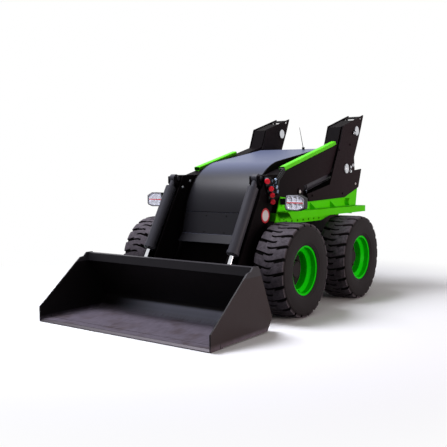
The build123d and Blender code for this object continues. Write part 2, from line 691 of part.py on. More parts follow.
cylinder_table = {
    # name: (base pin, rod pin, barrel diameter, rod diameter, tube from, tube to, piston from)
    "lift_cylinder": (lift_base_pin, lift_rod_pin, lift_barrel_diameter, lift_rod_diameter, 52.0, 790.0, 150.0),
    "tilt_cylinder": (tilt_base_pin, tilt_rod_pin, tilt_barrel_diameter, tilt_rod_diameter, 98.0, 737.0, 220.0),
}
for name, (base, rod_end, bore, rod_size, tube_from, tube_to, piston_from) in cylinder_table.items():
    both_sides(name + "_barrel", make_barrel(base, rod_end, bore, rod_size, tube_from, tube_to), made)
    both_sides(name + "_rod", make_rod(base, rod_end, bore, rod_size, piston_from), made)


# ---- bucket ----------------------------------------------------------------------------------------------------
half_bucket = bucket_width / 2
floor_z = 12.0
heel = (front_axle_y - 594, 112.0)
back_top = (front_axle_y - 838, bucket_height - 25)
back_unit, back_length, back_normal = along(heel, back_top)
back_normal = back_normal if back_normal[0] > 0 else (-back_normal[0], -back_normal[1])
lip_y = front_axle_y - front_reach


def make_bucket_shell():
    """Floor, bent heel, back and top bar, closed by two side plates."""
    floor_end = (front_axle_y - 740, floor_z)
    under = [(lip_y + 30, floor_z), floor_end, (front_axle_y - 640, 62), heel, back_top]
    line = FilletPolyline(*under, radius=60)
    s = bucket_sheet
    top_in = at(heel, back_unit, back_normal, back_length, -s)
    inner_line = FilletPolyline((lip_y + 30, floor_z + s), (floor_end[0] - 3, floor_z + s), (front_axle_y - 640 - 6, 62 + 6),
                                (heel[0] - s, heel[1] + 2), top_in, radius=56)
    skin = make_face(line + Line(back_top, top_in) + inner_line + Line((lip_y + 30, floor_z + s), (lip_y + 30, floor_z)))
    shell = across(skin, -half_bucket + bucket_side, half_bucket - bucket_side)
    bar_line = outline([(back_top[0] - 18, bucket_height - 76), (back_top[0] - 18, bucket_height - 6), (back_top[0] + 40, bucket_height - 6),
                        (back_top[0] + 40, bucket_height - 16), (back_top[0] - 8, bucket_height - 16), (back_top[0] - 8, bucket_height - 76)])
    shell += across(bar_line, -half_bucket + bucket_side, half_bucket - bucket_side)
    side = outline(from_axle([(-front_reach + 4, ground_gap), (-front_reach + 4, 128), (-1351, 178), (-950, 506), (-905, 512),
                              (-872, bucket_height), (-800, bucket_height), (-770, 497), (-594, 112), (-667, floor_z),
                              (-1266, floor_z), (-1266, ground_gap)]), 3)
    side_solid = across(side, half_bucket - bucket_side, half_bucket)
    shell += side_solid + mirrored(side_solid)
    for k in (-2, 0, 2):
        shell += block(170 * k - 50, 170 * k + 50, lip_y + edge_width + 20, front_axle_y - 760, ground_gap, floor_z)
    return shell


def make_cutting_edge():
    """Bevelled edge bar under the front of the floor."""
    low, top = ground_gap, ground_gap + edge_thickness
    bevel = outline([(lip_y, low), (lip_y + edge_width, low), (lip_y + edge_width, floor_z), (lip_y + 30, floor_z),
                     (lip_y + 30, top), (lip_y + 24, top), (lip_y, low + 5)])
    return across(bevel, -half_bucket + bucket_side, half_bucket - bucket_side)


made["bucket"] = make_bucket_shell()
made["cutting_edge"] = make_cutting_edge()


def on_back(t, n):
    """A side-view point t up the bucket's back from the heel and n behind it."""
    return at(heel, back_unit, back_normal, t, n)


def make_quick_coupler():
    """Attachment frame behind the bucket: a face plate and, at each arm, ears for the foot and the tilt rod."""
    face_line = outline([on_back(20, 0), on_back(430, 0), on_back(430, 14), on_back(20, 14)])
    frame = across(face_line, -arm_outer_x - 40, arm_outer_x + 40)
    foot_ear = outline([on_back(14, 14), on_back(240, 14), on_back(60, 190), on_back(15, 212), on_back(-25, 205),
                        on_back(-52, 170), on_back(-40, 120)])
    for x in (arm_inner_x - foot_gap - ear_plate, arm_outer_x + foot_gap):
        ear = pin_hole(across(foot_ear, x, x + ear_plate), bucket_pin, cylinder_pin_diameter)
        frame += ear + mirrored(ear)
    rod_ear = outline([on_back(135, 14), on_back(368, 14), on_back(288, 163), on_back(262, 175), on_back(232, 173), on_back(206, 150)])
    low, high = arm_middle_x - eye_width / 2 - ear_gap, arm_middle_x + eye_width / 2 + ear_gap
    for x in (low - ear_plate, high):
        ear = across(rod_ear, x, x + ear_plate)
        frame += ear + mirrored(ear)
    for stub in pin_stubs(tilt_rod_pin, low - ear_plate, high + ear_plate, 10.0):
        frame += stub + mirrored(stub)
    return frame


made["quick_coupler"] = make_quick_coupler()
foot_pin = headed_pin(bucket_pin, cylinder_pin_diameter, arm_inner_x - foot_gap - ear_plate, arm_outer_x + foot_gap + ear_plate)
made["coupler_pins"] = Compound(children=[foot_pin, mirrored(foot_pin)])

# ---- lamps, aerial, tie-downs -------------------------------------------------------------------------------------
lamp_size = (198.0, 78.0, 140.0)
lamp_middle = (800.0, front_axle_y - 4.0, tyre_diameter + 172.0)
lamp_bracket = (12.0, 56.0)     # thickness and height of the angle bracket that carries each lamp
lamp_bracket_y = front_axle_y + 126.0


def lamp_outline(shrink=0.0):
    w, h = lamp_size[0] / 2 - shrink, lamp_size[2] / 2 - shrink
    points = [(-w, -h + 34), (-w + 12, -h + 4), (w - 62, -h), (w - 8, -h + 18), (w, -h + 34), (w, h - 30), (w - 60, h), (-w + 10, h - 2)]
    return fillet(make_face(Polyline(*points, close=True)).vertices(), 9)


def make_lamp():
    """Lamp housing, open at the front for its lens, on an angle bracket bolted to the green side frame."""
    plane = Plane(origin=lamp_middle, x_dir=(1, 0, 0), z_dir=(0, -1, 0))
    front, back = lamp_size[1] / 2, lamp_size[1] / 2 - 26
    body = extrude(plane * lamp_outline(), amount=front) + extrude(plane * lamp_outline(), amount=-back)
    body += extrude(plane.offset(-back) * lamp_outline(), amount=-26, taper=30)
    body -= extrude(plane.offset(front - 14) * lamp_outline(9), amount=14)
    thick, tall = lamp_bracket
    x, y, z = lamp_middle
    foot_x, low, high = side_outer_x + seat_gap, z - tall / 2, z + tall / 2
    body += block(x - 20, x + 20, y + 20, lamp_bracket_y + thick, z - 20, z + 20)
    body += block(foot_x, x + 20, lamp_bracket_y, lamp_bracket_y + thick, low, high)
    return body + block(foot_x, foot_x + thick, lamp_bracket_y, lamp_bracket_y + 64, low, high)


def make_lens():
    plane = Plane(origin=lamp_middle, x_dir=(1, 0, 0), z_dir=(0, -1, 0))
    return extrude(plane.offset(lamp_size[1] / 2 - 14) * lamp_outline(9.3), amount=11)


lamp, lens = make_lamp(), make_lens()
made["work_lamps"] = Compound(children=[lamp, mirrored(lamp)])
made["lamp_lenses"] = Compound(children=[lens, mirrored(lens)])
aerial_y = front_axle_y + 1180
hood_slope = (hood_line[0][1] - hood_line[1][1]) / (hood_line[0][0] - hood_line[1][0])
aerial_foot = (206.0, aerial_y, hood_line[1][1] + hood_slope * (aerial_y + 14 - hood_line[1][0]) + 0.3)
aerial_lean = 12.0
from_foot = (Align.CENTER, Align.CENTER, Align.MIN)
made["aerial"] = Pos(*aerial_foot) * (Cylinder(14, 26, align=from_foot)
                                      + Pos(0, 0, 10) * Rot(0, -aerial_lean, 0) * Cone(3.5, 2, 230, align=from_foot))

# ---- write ----------------------------------------------------------------------------------------------------------
for name, shape in made.items():
    export_step(shape, f"parts/{name}.step")

if __name__ == "__main__":
    print("nodes", len(made), "overall length", overall_length)
    print("lift", [round(v, 4) for v in (*lift_unit, lift_length)], "tilt", [round(v, 4) for v in (*tilt_unit, tilt_length)])
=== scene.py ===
"""Finishes and fine detail for a cabless skid steer loader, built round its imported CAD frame.

Lengths are metres in the frame: +Z up, the bucket faces -Y, +X is the machine's own left side.
Side-view points are (y, z). New pieces are surfaces computed as whole numpy arrays.
"""
import functools
import json
import math

import bpy
import numpy as np
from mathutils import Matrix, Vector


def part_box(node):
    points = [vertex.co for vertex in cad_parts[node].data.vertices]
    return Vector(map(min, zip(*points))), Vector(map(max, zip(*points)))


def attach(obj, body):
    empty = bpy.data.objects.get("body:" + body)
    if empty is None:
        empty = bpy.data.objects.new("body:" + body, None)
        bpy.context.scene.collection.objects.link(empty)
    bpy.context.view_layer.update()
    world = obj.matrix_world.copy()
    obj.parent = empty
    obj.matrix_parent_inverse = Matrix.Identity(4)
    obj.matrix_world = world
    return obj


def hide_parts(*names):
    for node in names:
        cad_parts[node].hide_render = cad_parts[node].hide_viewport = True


bl_info = {
    "name": "Skid steer loader finish",
    "version": (1, 0, 0),
    "blender": (4, 5, 0),
    "location": "View3D > Sidebar > Loader",
    "description": "Tread, fasteners, lamps, hydraulic fittings and painted finishes for the loader",
    "category": "Add Mesh",
}

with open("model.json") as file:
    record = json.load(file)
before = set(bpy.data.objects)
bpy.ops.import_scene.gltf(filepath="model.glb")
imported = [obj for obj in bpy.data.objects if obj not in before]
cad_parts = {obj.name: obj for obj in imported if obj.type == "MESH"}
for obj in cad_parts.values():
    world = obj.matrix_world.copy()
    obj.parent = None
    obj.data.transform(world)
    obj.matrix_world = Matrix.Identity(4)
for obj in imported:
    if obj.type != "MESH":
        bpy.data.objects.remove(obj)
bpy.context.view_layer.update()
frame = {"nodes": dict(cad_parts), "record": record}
nodes = frame["nodes"]
slot_of = {part["node"]: part["material_slot"] for part in frame["record"]["subparts"]}


def node_box(name):
    """Lowest and highest corners of a CAD node as arrays."""
    low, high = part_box(name)
    return np.array(low), np.array(high)


def wheel_centre(place):
    low, high = node_box("tyre_" + place)
    return (low + high) / 2


FRONT_AXLE, REAR_AXLE = wheel_centre("front_left"), wheel_centre("rear_left")
TYRE_RADIUS = (node_box("tyre_front_left")[1][2] - node_box("tyre_front_left")[0][2]) / 2
PIN_HEAD = 0.008                 # how far a pin's head stands out of the arm
ARM_OUTER_X = float(node_box("lift_arm_left")[1][0]) - PIN_HEAD
ARM_INNER_X = float(node_box("lift_arm_left")[0][0]) + PIN_HEAD
ARM_MIDDLE_X = (ARM_OUTER_X + ARM_INNER_X) / 2
TOWER_OUTER_X = float(node_box("tower_outer_plate_left")[1][0])
SKIRT_X = TOWER_OUTER_X - 0.010  # the green frame's outer face
BRACKET_X = ARM_OUTER_X + 0.014  # the outer face of the couplers' bracket
LEDGE_MM = 912                   # height of the green ledge's top
PIN_HEAD_X = float(node_box("tower_pins")[1][0])
LAMP_HIGH = node_box("lamp_lenses")[1]
LAMP_MIDDLE = np.array((LAMP_HIGH[0] - 0.0897, node_box("work_lamps")[0][1], LAMP_HIGH[2] - 0.0607))
DOOR_Y = float(node_box("rear_door")[1][1])
OUT, BACK, UP = (1.0, 0.0, 0.0), (0.0, 1.0, 0.0), (0.0, 0.0, 1.0)


def behind(y_mm):
    """The y of a place given in millimetres behind the front axle."""
    return FRONT_AXLE[1] + y_mm / 1000


def behind_axle(y_mm, z_mm):
    """Side-view point given in millimetres behind the front axle and above the floor."""
    return behind(y_mm), z_mm / 1000


LIFT_PIVOT, LIFT_BASE_PIN = behind_axle(1712, 1716), behind_axle(1470, 1307)
LIFT_ROD_PIN = behind_axle(505, 1084)
TILT_BASE_PIN, TILT_ROD_PIN = behind_axle(-141, 1212), behind_axle(-607, 396)

# ---- settings ------------------------------------------------------------------------------------


def linear(code):
    """Scene-linear RGBA of an sRGB hex colour."""
    values = [int(code[k:k + 2], 16) / 255 for k in (1, 3, 5)]
    return tuple(v / 12.92 if v <= 0.04045 else ((v + 0.055) / 1.055) ** 2.4 for v in values) + (1.0,)


def colour_property(name, description, code):
    return bpy.props.FloatVectorProperty(name=name, description=description, subtype="COLOR", size=4,
                                         min=0.0, max=1.0, default=linear(code))


def number_property(name, description, value, unit="NONE"):
    return bpy.props.FloatProperty(name=name, description=description, default=value, unit=unit)


class LoaderPaint(bpy.types.PropertyGroup):
    """Colours of the loader's finishes."""
    green: colour_property("Green", "Gloss powder coat of the frame", "#58DE10")
    # Painted highlight: the guard tubes take a lighter copy of the frame's green, standing in for the bright
    # light on them.
    tube: colour_property("Tube green", "Fresh gloss powder coat of the guard tubes", "#64E222")
    rim: colour_property("Rim green", "Gloss paint of the rims", "#12E00A")
    black: colour_property("Black", "Satin powder coat of arms and towers", "#100C0E")
    # Painted sheen: this colour lightens the black paint's side faces towards the rear, standing in for the
    # light on them.
    dust: colour_property("Dust", "Fine brown dust on the black paint towards the rear", "#2C2226")
    cover: colour_property("Cover", "Dark grey paint of the hood", "#1F1E23")
    bucket: colour_property("Bucket", "Brown black paint of the bucket", "#120F10")
    rubber: colour_property("Rubber", "Side wall and tread of the tyres", "#1B1618")
    scuff: colour_property("Scuffed rubber", "Dusty tops of the tread's lugs", "#5E575E")


class LoaderTyre(bpy.types.PropertyGroup):
    """Sizes of the tyres' tread."""
    lugs: bpy.props.IntProperty(name="Lugs", description="Lugs on each side of the tread", default=22, min=8)
    depth: number_property("Groove depth", "Depth of the tread in its middle", 0.029, "LENGTH")
    reach: number_property("Lug reach", "How far a lug passes the middle of the tread", 0.056, "LENGTH")
    sweep: number_property("Sweep", "How far a lug's shoulder end leads its inner end", 0.035, "LENGTH")


class LoaderStage(bpy.types.PropertyGroup):
    """Floor and light."""
    floor_radius: number_property("Floor radius", "Radius of the round floor", 40.0, "LENGTH")
    key_power: number_property("Key power", "Power of the large soft lamp overhead", 500.0, "POWER")
    side_power: number_property("Side power", "Power of the warm lamp on the left-hand side", 250.0, "POWER")
    overhead: number_property("Overhead", "Strength of the ceiling's light", 0.34)
    beside: number_property("Beside", "Strength of the dim walls' light", 0.06)


# ---- mesh helpers ----------------------------------------------------------------------------------
# A shape is (points, faces): an array of points, and a list of index arrays, one for each number of corners.


def grid_faces(rows, columns, wrap_rows=False, wrap_columns=False):
    """Quads of a grid of points, numbered row by row. A wrapped direction joins its last line to its
    first."""
    row = np.arange(rows if wrap_rows else rows - 1)[:, None]
    column = np.arange(columns if wrap_columns else columns - 1)[None, :]
    next_row, next_column = (row + 1) % rows, (column + 1) % columns
    corners = [row * columns + column, row * columns + next_column,
               next_row * columns + next_column, next_row * columns + column]
    return np.stack([c + 0 * (row + column) for c in corners], axis=-1).reshape(-1, 4)


def capped(rings):
    """Rings of points (ring, place on it, xyz) as a closed skin: quads between rings, a flat cap at each
    end."""
    count, size = rings.shape[:2]
    first, last = np.arange(size)[None, ::-1], np.arange(size)[None, :] + (count - 1) * size
    return rings.reshape(-1, 3), [grid_faces(count, size, wrap_columns=True), first, last]


def turned(section, count):
    """A section of (along, radius) pairs carried about X: point = (along, radius cos a, radius sin a)."""
    section = np.asarray(section, float)
    angle = 2 * np.pi * np.arange(count) / count
    along, radius = section[:, 0, None], section[:, 1, None]
    return np.stack([along + 0 * angle, radius * np.cos(angle), radius * np.sin(angle)], axis=-1)


def lathe(section, count):
    """A section turned about X, capped at both ends. Six places round it make a hexagon."""
    return capped(turned(section, count))


def ring_lathe(section, count):
    """A closed section turned about X, such as a ring or a washer. The section runs outwards first: its faces
    point out of the ring."""
    return turned(section, count).reshape(-1, 3), [grid_faces(len(section), count, True, True)]


def stood(shape, centre, axis):
    """A shape drawn about X carried to a centre, with X turned to the axis."""
    x = np.asarray(axis, float) / np.linalg.norm(axis)
    helper = np.array(UP) if abs(x[2]) < 0.9 else np.array(BACK)
    y = np.cross(helper, x)
    y /= np.linalg.norm(y)
    return shape[0] @ np.stack([x, y, np.cross(x, y)]) + np.asarray(centre, float), shape[1]


def joined(shapes):
    """Several shapes as one."""
    starts = np.cumsum([0] + [len(points) for points, _ in shapes[:-1]])
    faces = [face + start for (_, lists), start in zip(shapes, starts) for face in lists]
    return np.concatenate([points for points, _ in shapes]), faces


def at_places(shape, places, axis):
    return joined([stood(shape, place, axis) for place in places])


def flipped(shape):
    """The mirror image across the machine's middle, its faces turned to point outwards again."""
    return shape[0] * np.array((-1.0, 1.0, 1.0)), [face[:, ::-1] for face in shape[1]]


def both_sides(shape):
    return joined([shape, flipped(shape)])


SIDES = (("left", lambda shape: shape), ("right", flipped))


def plate(outline, low, high, edge=0.0015):
    """A side-view outline carried from x = low to x = high. Its first and last rings are drawn in by edge
    along each corner's mitre, which eases the two rims."""
    outline = np.asarray(outline, float)
    y, z = outline.T
    if np.sum(y * np.roll(z, -1) - np.roll(y, -1) * z) < 0:
        outline = outline[::-1]
    along = np.roll(outline, -1, axis=0) - outline
    along /= np.linalg.norm(along, axis=1, keepdims=True)
    inward = np.stack([-along[:, 1], along[:, 0]], axis=1)
    mitre = inward + np.roll(inward, 1, axis=0)
    mitre /= np.maximum(0.3, (mitre * inward).sum(axis=1, keepdims=True))
    xs, insets = np.array((low, low + edge, high - edge, high)), np.array((edge, 0.0, 0.0, edge))
    flat = outline[None] + mitre[None] * insets[:, None, None]
    return capped(np.concatenate([xs[:, None, None] + 0 * flat[..., :1], flat], axis=-1))


def rectangle(y_low, y_high, z_low, z_high):
    return [(y_low, z_low), (y_high, z_low), (y_high, z_high), (y_low, z_high)]


def slab(front, back):
    """The closed solid between two grids of points: both grids, and a strip round their borders."""
    rows, columns = front.shape[:2]
    number = np.arange(rows * columns).reshape(rows, columns)
    border = np.concatenate([number[0, :-1], number[:-1, -1], number[-1, :0:-1], number[:0:-1, 0]])
    ahead = np.roll(border, -1)
    strip = np.stack([ahead, border, border + number.size, ahead + number.size], axis=-1)
    face = grid_faces(rows, columns)
    points = np.concatenate([front.reshape(-1, 3), back.reshape(-1, 3)])
    return points, [face, face[:, ::-1] + number.size, strip]


def tube(path, radius, count, helper=OUT):
    """A circle of count places carried along a path. The circle stands across the path's direction, one of
    its axes square to the helper direction. The radius may change along the path. Both ends are capped."""
    path = np.asarray(path, float)
    way = np.gradient(path, axis=0)
    way /= np.linalg.norm(way, axis=1, keepdims=True)
    side = np.cross(np.asarray(helper, float), way)
    side /= np.linalg.norm(side, axis=1, keepdims=True)
    up = np.cross(way, side)
    angle = 2 * np.pi * np.arange(count) / count
    radius = np.broadcast_to(np.asarray(radius, float), len(path))[:, None, None]
    ring = side[:, None] * np.cos(angle)[None, :, None] + up[:, None] * np.sin(angle)[None, :, None]
    return capped(path[:, None] + radius * ring)


def spaced(corners, step):
    """Points about one step apart along straight runs between corners."""
    corners = np.asarray(corners, float)
    runs = np.concatenate([[0.0], np.cumsum(np.linalg.norm(np.diff(corners, axis=0), axis=1))])
    places = np.linspace(0.0, runs[-1], max(2, int(round(runs[-1] / step)) + 1))
    return np.stack([np.interp(places, runs, corners[:, k]) for k in range(corners.shape[1])], axis=1)


def weld(corners, radius=0.0035, helper=OUT):
    """A weld bead along straight runs: a round skin, half sunk in the corner, whose radius swells every 8 mm,
    drawn that coarse so that the ripple shows."""
    path = spaced(corners, 0.004)
    swell = 1.0 + 0.16 * np.where(np.arange(len(path)) % 2 == 0, 1.0, -1.0)
    return tube(path, radius * swell, 6, helper)


def ring_weld(x, middle, radius, bead):
    """A weld bead round a boss or a tube that lies along X, its radius swelling at every other one of 96
    steps."""
    step = np.arange(97)
    angle = 2 * np.pi * step / 96
    y, z = middle
    ring = np.stack([0 * angle + x, y + radius * np.cos(angle), z + radius * np.sin(angle)], axis=1)
    return tube(ring, bead * (1 + 0.15 * (-1.0) ** step), 6)


def side_path(points, x):
    """Side-view points at one x."""
    return [(x, y, z) for y, z in points]


def hex_bolt(size):
    """A hexagon head with an eased crown on a round washer, along +X from x = 0. Size is the thread's
    diameter."""
    corner, start = 0.92 * size, 0.16 * size
    head = [(start, corner), (start + 0.5 * size, corner), (start + 0.64 * size, 0.84 * corner)]
    washer = [(0.0, 1.12 * size), (0.12 * size, 1.12 * size), (start, 1.05 * size)]
    return joined([lathe(head, 6), lathe(washer, 14)])


TURNED, BEAD = 32, 80            # the sharp angles, in degrees, of turned parts and of weld beads


def mesh_of(name, shape, sharp=None):
    """A shape as a mesh. With a sharp angle, in degrees, it is shaded smooth and keeps the edges that are
    sharper."""
    points, faces = shape
    mesh = bpy.data.meshes.new(name)
    mesh.vertices.add(len(points))
    mesh.vertices.foreach_set("co", np.asarray(points, np.float32).ravel())
    sizes = np.concatenate([np.full(len(face), face.shape[1]) for face in faces])
    corners = np.concatenate([face.ravel() for face in faces]).astype(np.int32)
    mesh.loops.add(len(corners))
    mesh.loops.foreach_set("vertex_index", corners)
    mesh.polygons.add(len(sizes))
    mesh.polygons.foreach_set("loop_start", (np.cumsum(sizes) - sizes).astype(np.int32))
    mesh.polygons.foreach_set("use_smooth", np.full(len(sizes), sharp is not None))
    mesh.update(calc_edges=True)
    mesh.validate()
    if sharp is not None:
        mesh.set_sharp_from_angle(angle=math.radians(sharp))
    return mesh


def placed(name, data):
    """A new object of the scene."""
    thing = bpy.data.objects.new(name, data)
    bpy.context.scene.collection.objects.link(thing)
    return thing


def piece(name, shape, body, slot, sharp=None, finish_name=None, replaced=()):
    """Makes the object, gives it its own finish or its slot's, and hangs it on its body."""
    mesh = mesh_of(name, shape, sharp)
    mesh.materials.append(finishes[finish_name or SLOT_FINISH[slot]])
    thing = placed(name, mesh)
    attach(thing, body)
    if replaced:
        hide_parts(*replaced)
    return thing


# ---- materials -------------------------------------------------------------------------------------
SLOT_FINISH = {
    "green_paint": "green_powder_coat", "black_powder_coat": "black_powder_coat",
    "grey_cover": "cover_satin_paint", "bucket_paint": "bucket_chassis_paint",
    "worn_steel": "worn_edge_steel", "chrome_rod": "hard_chrome", "zinc_pin": "zinc_plate",
    "tyre_rubber": "tyre_rubber",
    "hose_rubber": "hose_rubber", "lamp_shell": "lamp_shell_plastic", "lamp_glass": "clear_polycarbonate",
    "black_plastic": "black_polypropylene", "coupler_steel": "zinc_nickel_plate",
    "red_plastic": "red_polyethylene", "battery_case": "battery_case_paint"}
NODE_FINISH = {"coupler_pins": "phosphated_steel", "tilt_base_pins": "phosphated_steel",
               "arm_tubes": "guard_tube_coat", "coupler_block": "coupler_plating"}
MODE = {"Math": "operation", "VectorMath": "operation", "Mix": "data_type", "MapRange": "interpolation_type"}
MIX_A, MIX_B, MIXED = 6, 7, 2    # a mix node's two colour inputs, and its colour output
finishes = {}


def add_node(tree, kind, inputs=(), out=0, **settings):
    """Adds a node. Its kind may carry its mode, as in "Math MULTIPLY". Inputs stand in order, or under their
    numbers or names: an output of another node is linked, and a plain value is set. Returns the output asked
    for, or the node itself where out is None."""
    kind, _, mode = kind.partition(" ")
    node = tree.nodes.new("ShaderNode" + kind)
    for key, value in ({MODE[kind]: mode} | settings if mode else settings).items():
        setattr(node, key, value)
    for key, value in inputs.items() if isinstance(inputs, dict) else enumerate(inputs):
        if isinstance(value, bpy.types.NodeSocket):
            tree.links.new(value, node.inputs[key])
        else:
            node.inputs[key].default_value = value
    return node if out is None else node.outputs[out]


def finish(name):
    """A new material with an empty tree. Returns add, which adds a node to that tree, and Object
    coordinates."""
    material = bpy.data.materials.new(name)
    material.use_nodes = True
    material.node_tree.nodes.clear()
    finishes[name] = material
    add = functools.partial(add_node, material.node_tree)
    return add, add("TexCoord", out="Object")


def surfaced(add, tone, roughness, bump, gloss=0.5, metallic=0.0, **more):
    """Ends a material's tree in a surface. Gloss scales its mirror-like reflection, which 0.5 leaves as it
    is. More inputs are named with underscores for spaces."""
    inputs = {"Base Color": tone, "Roughness": roughness, "Normal": bump, "Specular IOR Level": gloss,
              "Metallic": metallic} | {name.replace("_", " "): value for name, value in more.items()}
    add("OutputMaterial", {"Surface": add("BsdfPrincipled", inputs)}, None)


def per_metre(size_mm):
    """The scale of a pattern whose blobs are about size_mm across."""
    return 1000.0 / size_mm


def tinted(colour, factor):
    """A colour made lighter or darker."""
    return tuple(min(1.0, c * factor) for c in colour[:3]) + (1.0,)


def clouded(add, place, colour, dark, light, size_mm, detail=3.0, rough=0.5):
    """A colour that drifts between two tints of itself, in clouds about size_mm across."""
    clouds = add("TexNoise", {0: place, "Scale": per_metre(size_mm), "Detail": detail, "Roughness": rough})
    return add("Mix RGBA", {0: clouds, MIX_A: tinted(colour, dark), MIX_B: tinted(colour, light)}, MIXED)


def relief(add, place, strength, depth, size_mm, detail=2.0, rough=0.5):
    """A finely uneven skin, from noise about size_mm across. Returns the bent normal and the noise."""
    skin = add("TexNoise", {0: place, "Scale": per_metre(size_mm), "Detail": detail, "Roughness": rough})
    return add("Bump", {"Strength": strength, "Distance": depth, "Height": skin}), skin


def facing(add, axis):
    """How far the surface faces along one axis of the frame, from -1 to 1."""
    return add("SeparateXYZ", (add("NewGeometry", out="Normal"),), axis)


# A map range takes the value, the two ends of its range, and the two ends of the result, which are 0 and 1
# where they aren't given.


def make_powder_coat(name, colour, roughness, peel_mm, gloss, dust=None):
    """Powder coat on steel, sprayed and baked: an even colour with a faint orange peel and slow, cloudy
    changes of tone. Where a sheen colour is given, a speckled painted sheen lightens its side faces more and
    more towards the rear, standing in for the light that falls on them."""
    add, place = finish(name)
    tone = clouded(add, place, colour, 0.9, 1.1, 240, 4.0, 0.6)
    # painted sheen: side faces take a lighter brown, more towards the rear, as if lit
    if dust:
        film = add("MapRange", (add("SeparateXYZ", (place,), "Y"), -0.30, 1.25, 0.0, 0.85))
        speckle = add("TexNoise", {0: place, "Scale": per_metre(28), "Detail": 7.0, "Roughness": 0.68})
        patchy = add("MapRange", (speckle, 0.25, 0.75, 0.7, 1.15))
        patchy = add("Math MULTIPLY", (patchy, add("Math ABSOLUTE", (facing(add, "X"),))))
        film = add("Math MULTIPLY", (film, patchy), use_clamp=True)
        tone = add("Mix RGBA", {0: film, MIX_A: tone, MIX_B: dust}, MIXED)
    wear = add("TexNoise", {0: place, "Scale": per_metre(45), "Detail": 4.0, "Roughness": 0.6})
    rough = add("MapRange", (wear, 0.0, 1.0, roughness - 0.06, roughness + 0.08))
    bump, _ = relief(add, place, 0.35, 0.0004, peel_mm)
    surfaced(add, tone, rough, bump, gloss)


def make_cover_paint(colour):
    """Satin industrial paint on the bent hood sheet: long soft reflections, a fine peel, and a pale bluish
    painted sheen on what faces the sky."""
    add, place = finish("cover_satin_paint")
    tone = clouded(add, place, colour, 0.93, 1.07, 300, 3.0, 0.55)
    # painted sheen: faces turned to the sky are tinted pale bluish, as their reflection of it
    film = add("MapRange SMOOTHSTEP", (facing(add, "Z"), 0.70, 0.995, 0.0, 0.70))
    tone = add("Mix RGBA", {0: film, MIX_A: tone, MIX_B: linear("#69718F")}, MIXED)
    bump, _ = relief(add, place, 0.2, 0.0003, 9)
    surfaced(add, tone, 0.40, bump, 0.14)


def make_bucket_paint(colour):
    """Brown-black chassis paint, sprayed thick. The floor is rubbed to a purple grey with brown patches, in
    streaks along the way the load slides, and two dark seams cross it. The bend behind it has a pale bluish
    painted highlight that fades out towards the machine's right. The bar on top is painted greyer as its
    reflection, and the outer side walls are a lighter brown."""
    add, place = finish("bucket_chassis_paint")
    streaks = add("Mapping", {0: place, "Scale": (9.0, 1.2, 1.2)})
    rubbed = add("TexNoise", {0: streaks, "Scale": 9.0, "Detail": 8.0, "Roughness": 0.72})
    x, y, z = add("SeparateXYZ", (place,), None).outputs
    low = add("MapRange", (z, 0.052, 0.021))
    scuff = add("Math MULTIPLY", (low, add("MapRange", (rubbed, 0.22, 0.70, 0.25))))
    # the outer side walls are a lighter brown
    outside = add("MapRange", (add("Math ABSOLUTE", (x,)), 0.912, 0.9145))
    # painted highlight: a pale bluish band on the bend behind the floor, fading out towards the machine's
    # right
    polish = add("MapRange SMOOTHSTEP", (facing(add, "Z"), 0.10, 0.62))
    for share in (add("MapRange SMOOTHSTEP", (x, -0.80, -0.10)),
                  add("MapRange", (y, -1.03, -0.96)), add("MapRange", (z, 0.20, 0.14))):
        polish = add("Math MULTIPLY", (polish, share))
    # painted reflection: the bar on top is painted greyer
    bar = add("MapRange", (z, 0.468, 0.470))
    patches = add("TexNoise", {0: place, "Scale": per_metre(260), "Detail": 3.0, "Roughness": 0.6})
    patches = add("MapRange", (patches, 0.50, 0.66, 0.0, 0.55))
    worn = add("Mix RGBA", {0: patches, MIX_A: linear("#756D79"), MIX_B: linear("#544644")}, MIXED)
    films = [(outside, linear("#332A2B")), (polish, linear("#C4C6DC")), (bar, linear("#3A383C")),
             (scuff, worn)]
    for seam_y in (-1.533, -0.905):
        line = add("Math COMPARE", (y, seam_y, 0.0045))
        films.append((add("Math MULTIPLY", (line, low)), linear("#141112")))
    tone = clouded(add, place, colour, 0.8, 1.2, 180, 5.0, 0.6)
    for share, shade in films:
        tone = add("Mix RGBA", {0: share, MIX_A: tone, MIX_B: shade}, MIXED)
    rough = add("MapRange", (rubbed, 0.0, 1.0, 0.34, 0.55))
    bump, _ = relief(add, place, 0.3, 0.0006, 7, 3.0, 0.6)
    surfaced(add, tone, rough, bump, 0.10)


def make_tyre_rubber(colour, scuffed):
    """Moulded carbon-black rubber: matt and brown-black on the side walls, dusty grey where the lugs' tops
    meet the ground, and painted near black in the grooves as their shade. The lug attribute is 1 on a lug's
    top, 0.4 on a side wall and 0 in a groove."""
    add, place = finish("tyre_rubber")
    lug = add("Attribute", out="Fac", attribute_name="lug")
    dust = add("TexNoise", {0: place, "Scale": per_metre(30), "Detail": 6.0, "Roughness": 0.7})
    patchy = add("MapRange", (dust, 0.3, 0.62, 0.35, 1.0))
    dusty = add("Math MULTIPLY", (add("MapRange", (lug, 0.55, 1.0)), patchy))
    # painted shade: the grooves turn near black, fading out up the lugs' lower flanks
    clean = add("MapRange", (lug, 0.0, OFF_TREAD))
    tone = clouded(add, place, colour, 0.8, 1.25, 120, 4.0, 0.6)
    tone = add("Mix RGBA", {0: clean, MIX_A: linear("#050404"), MIX_B: tone}, MIXED)
    tone = add("Mix RGBA", {0: dusty, MIX_A: tone, MIX_B: scuffed}, MIXED)
    bump, _ = relief(add, place, 0.35, 0.0008, 6, 4.0, 0.7)
    surfaced(add, tone, 0.68, bump, 0.12)


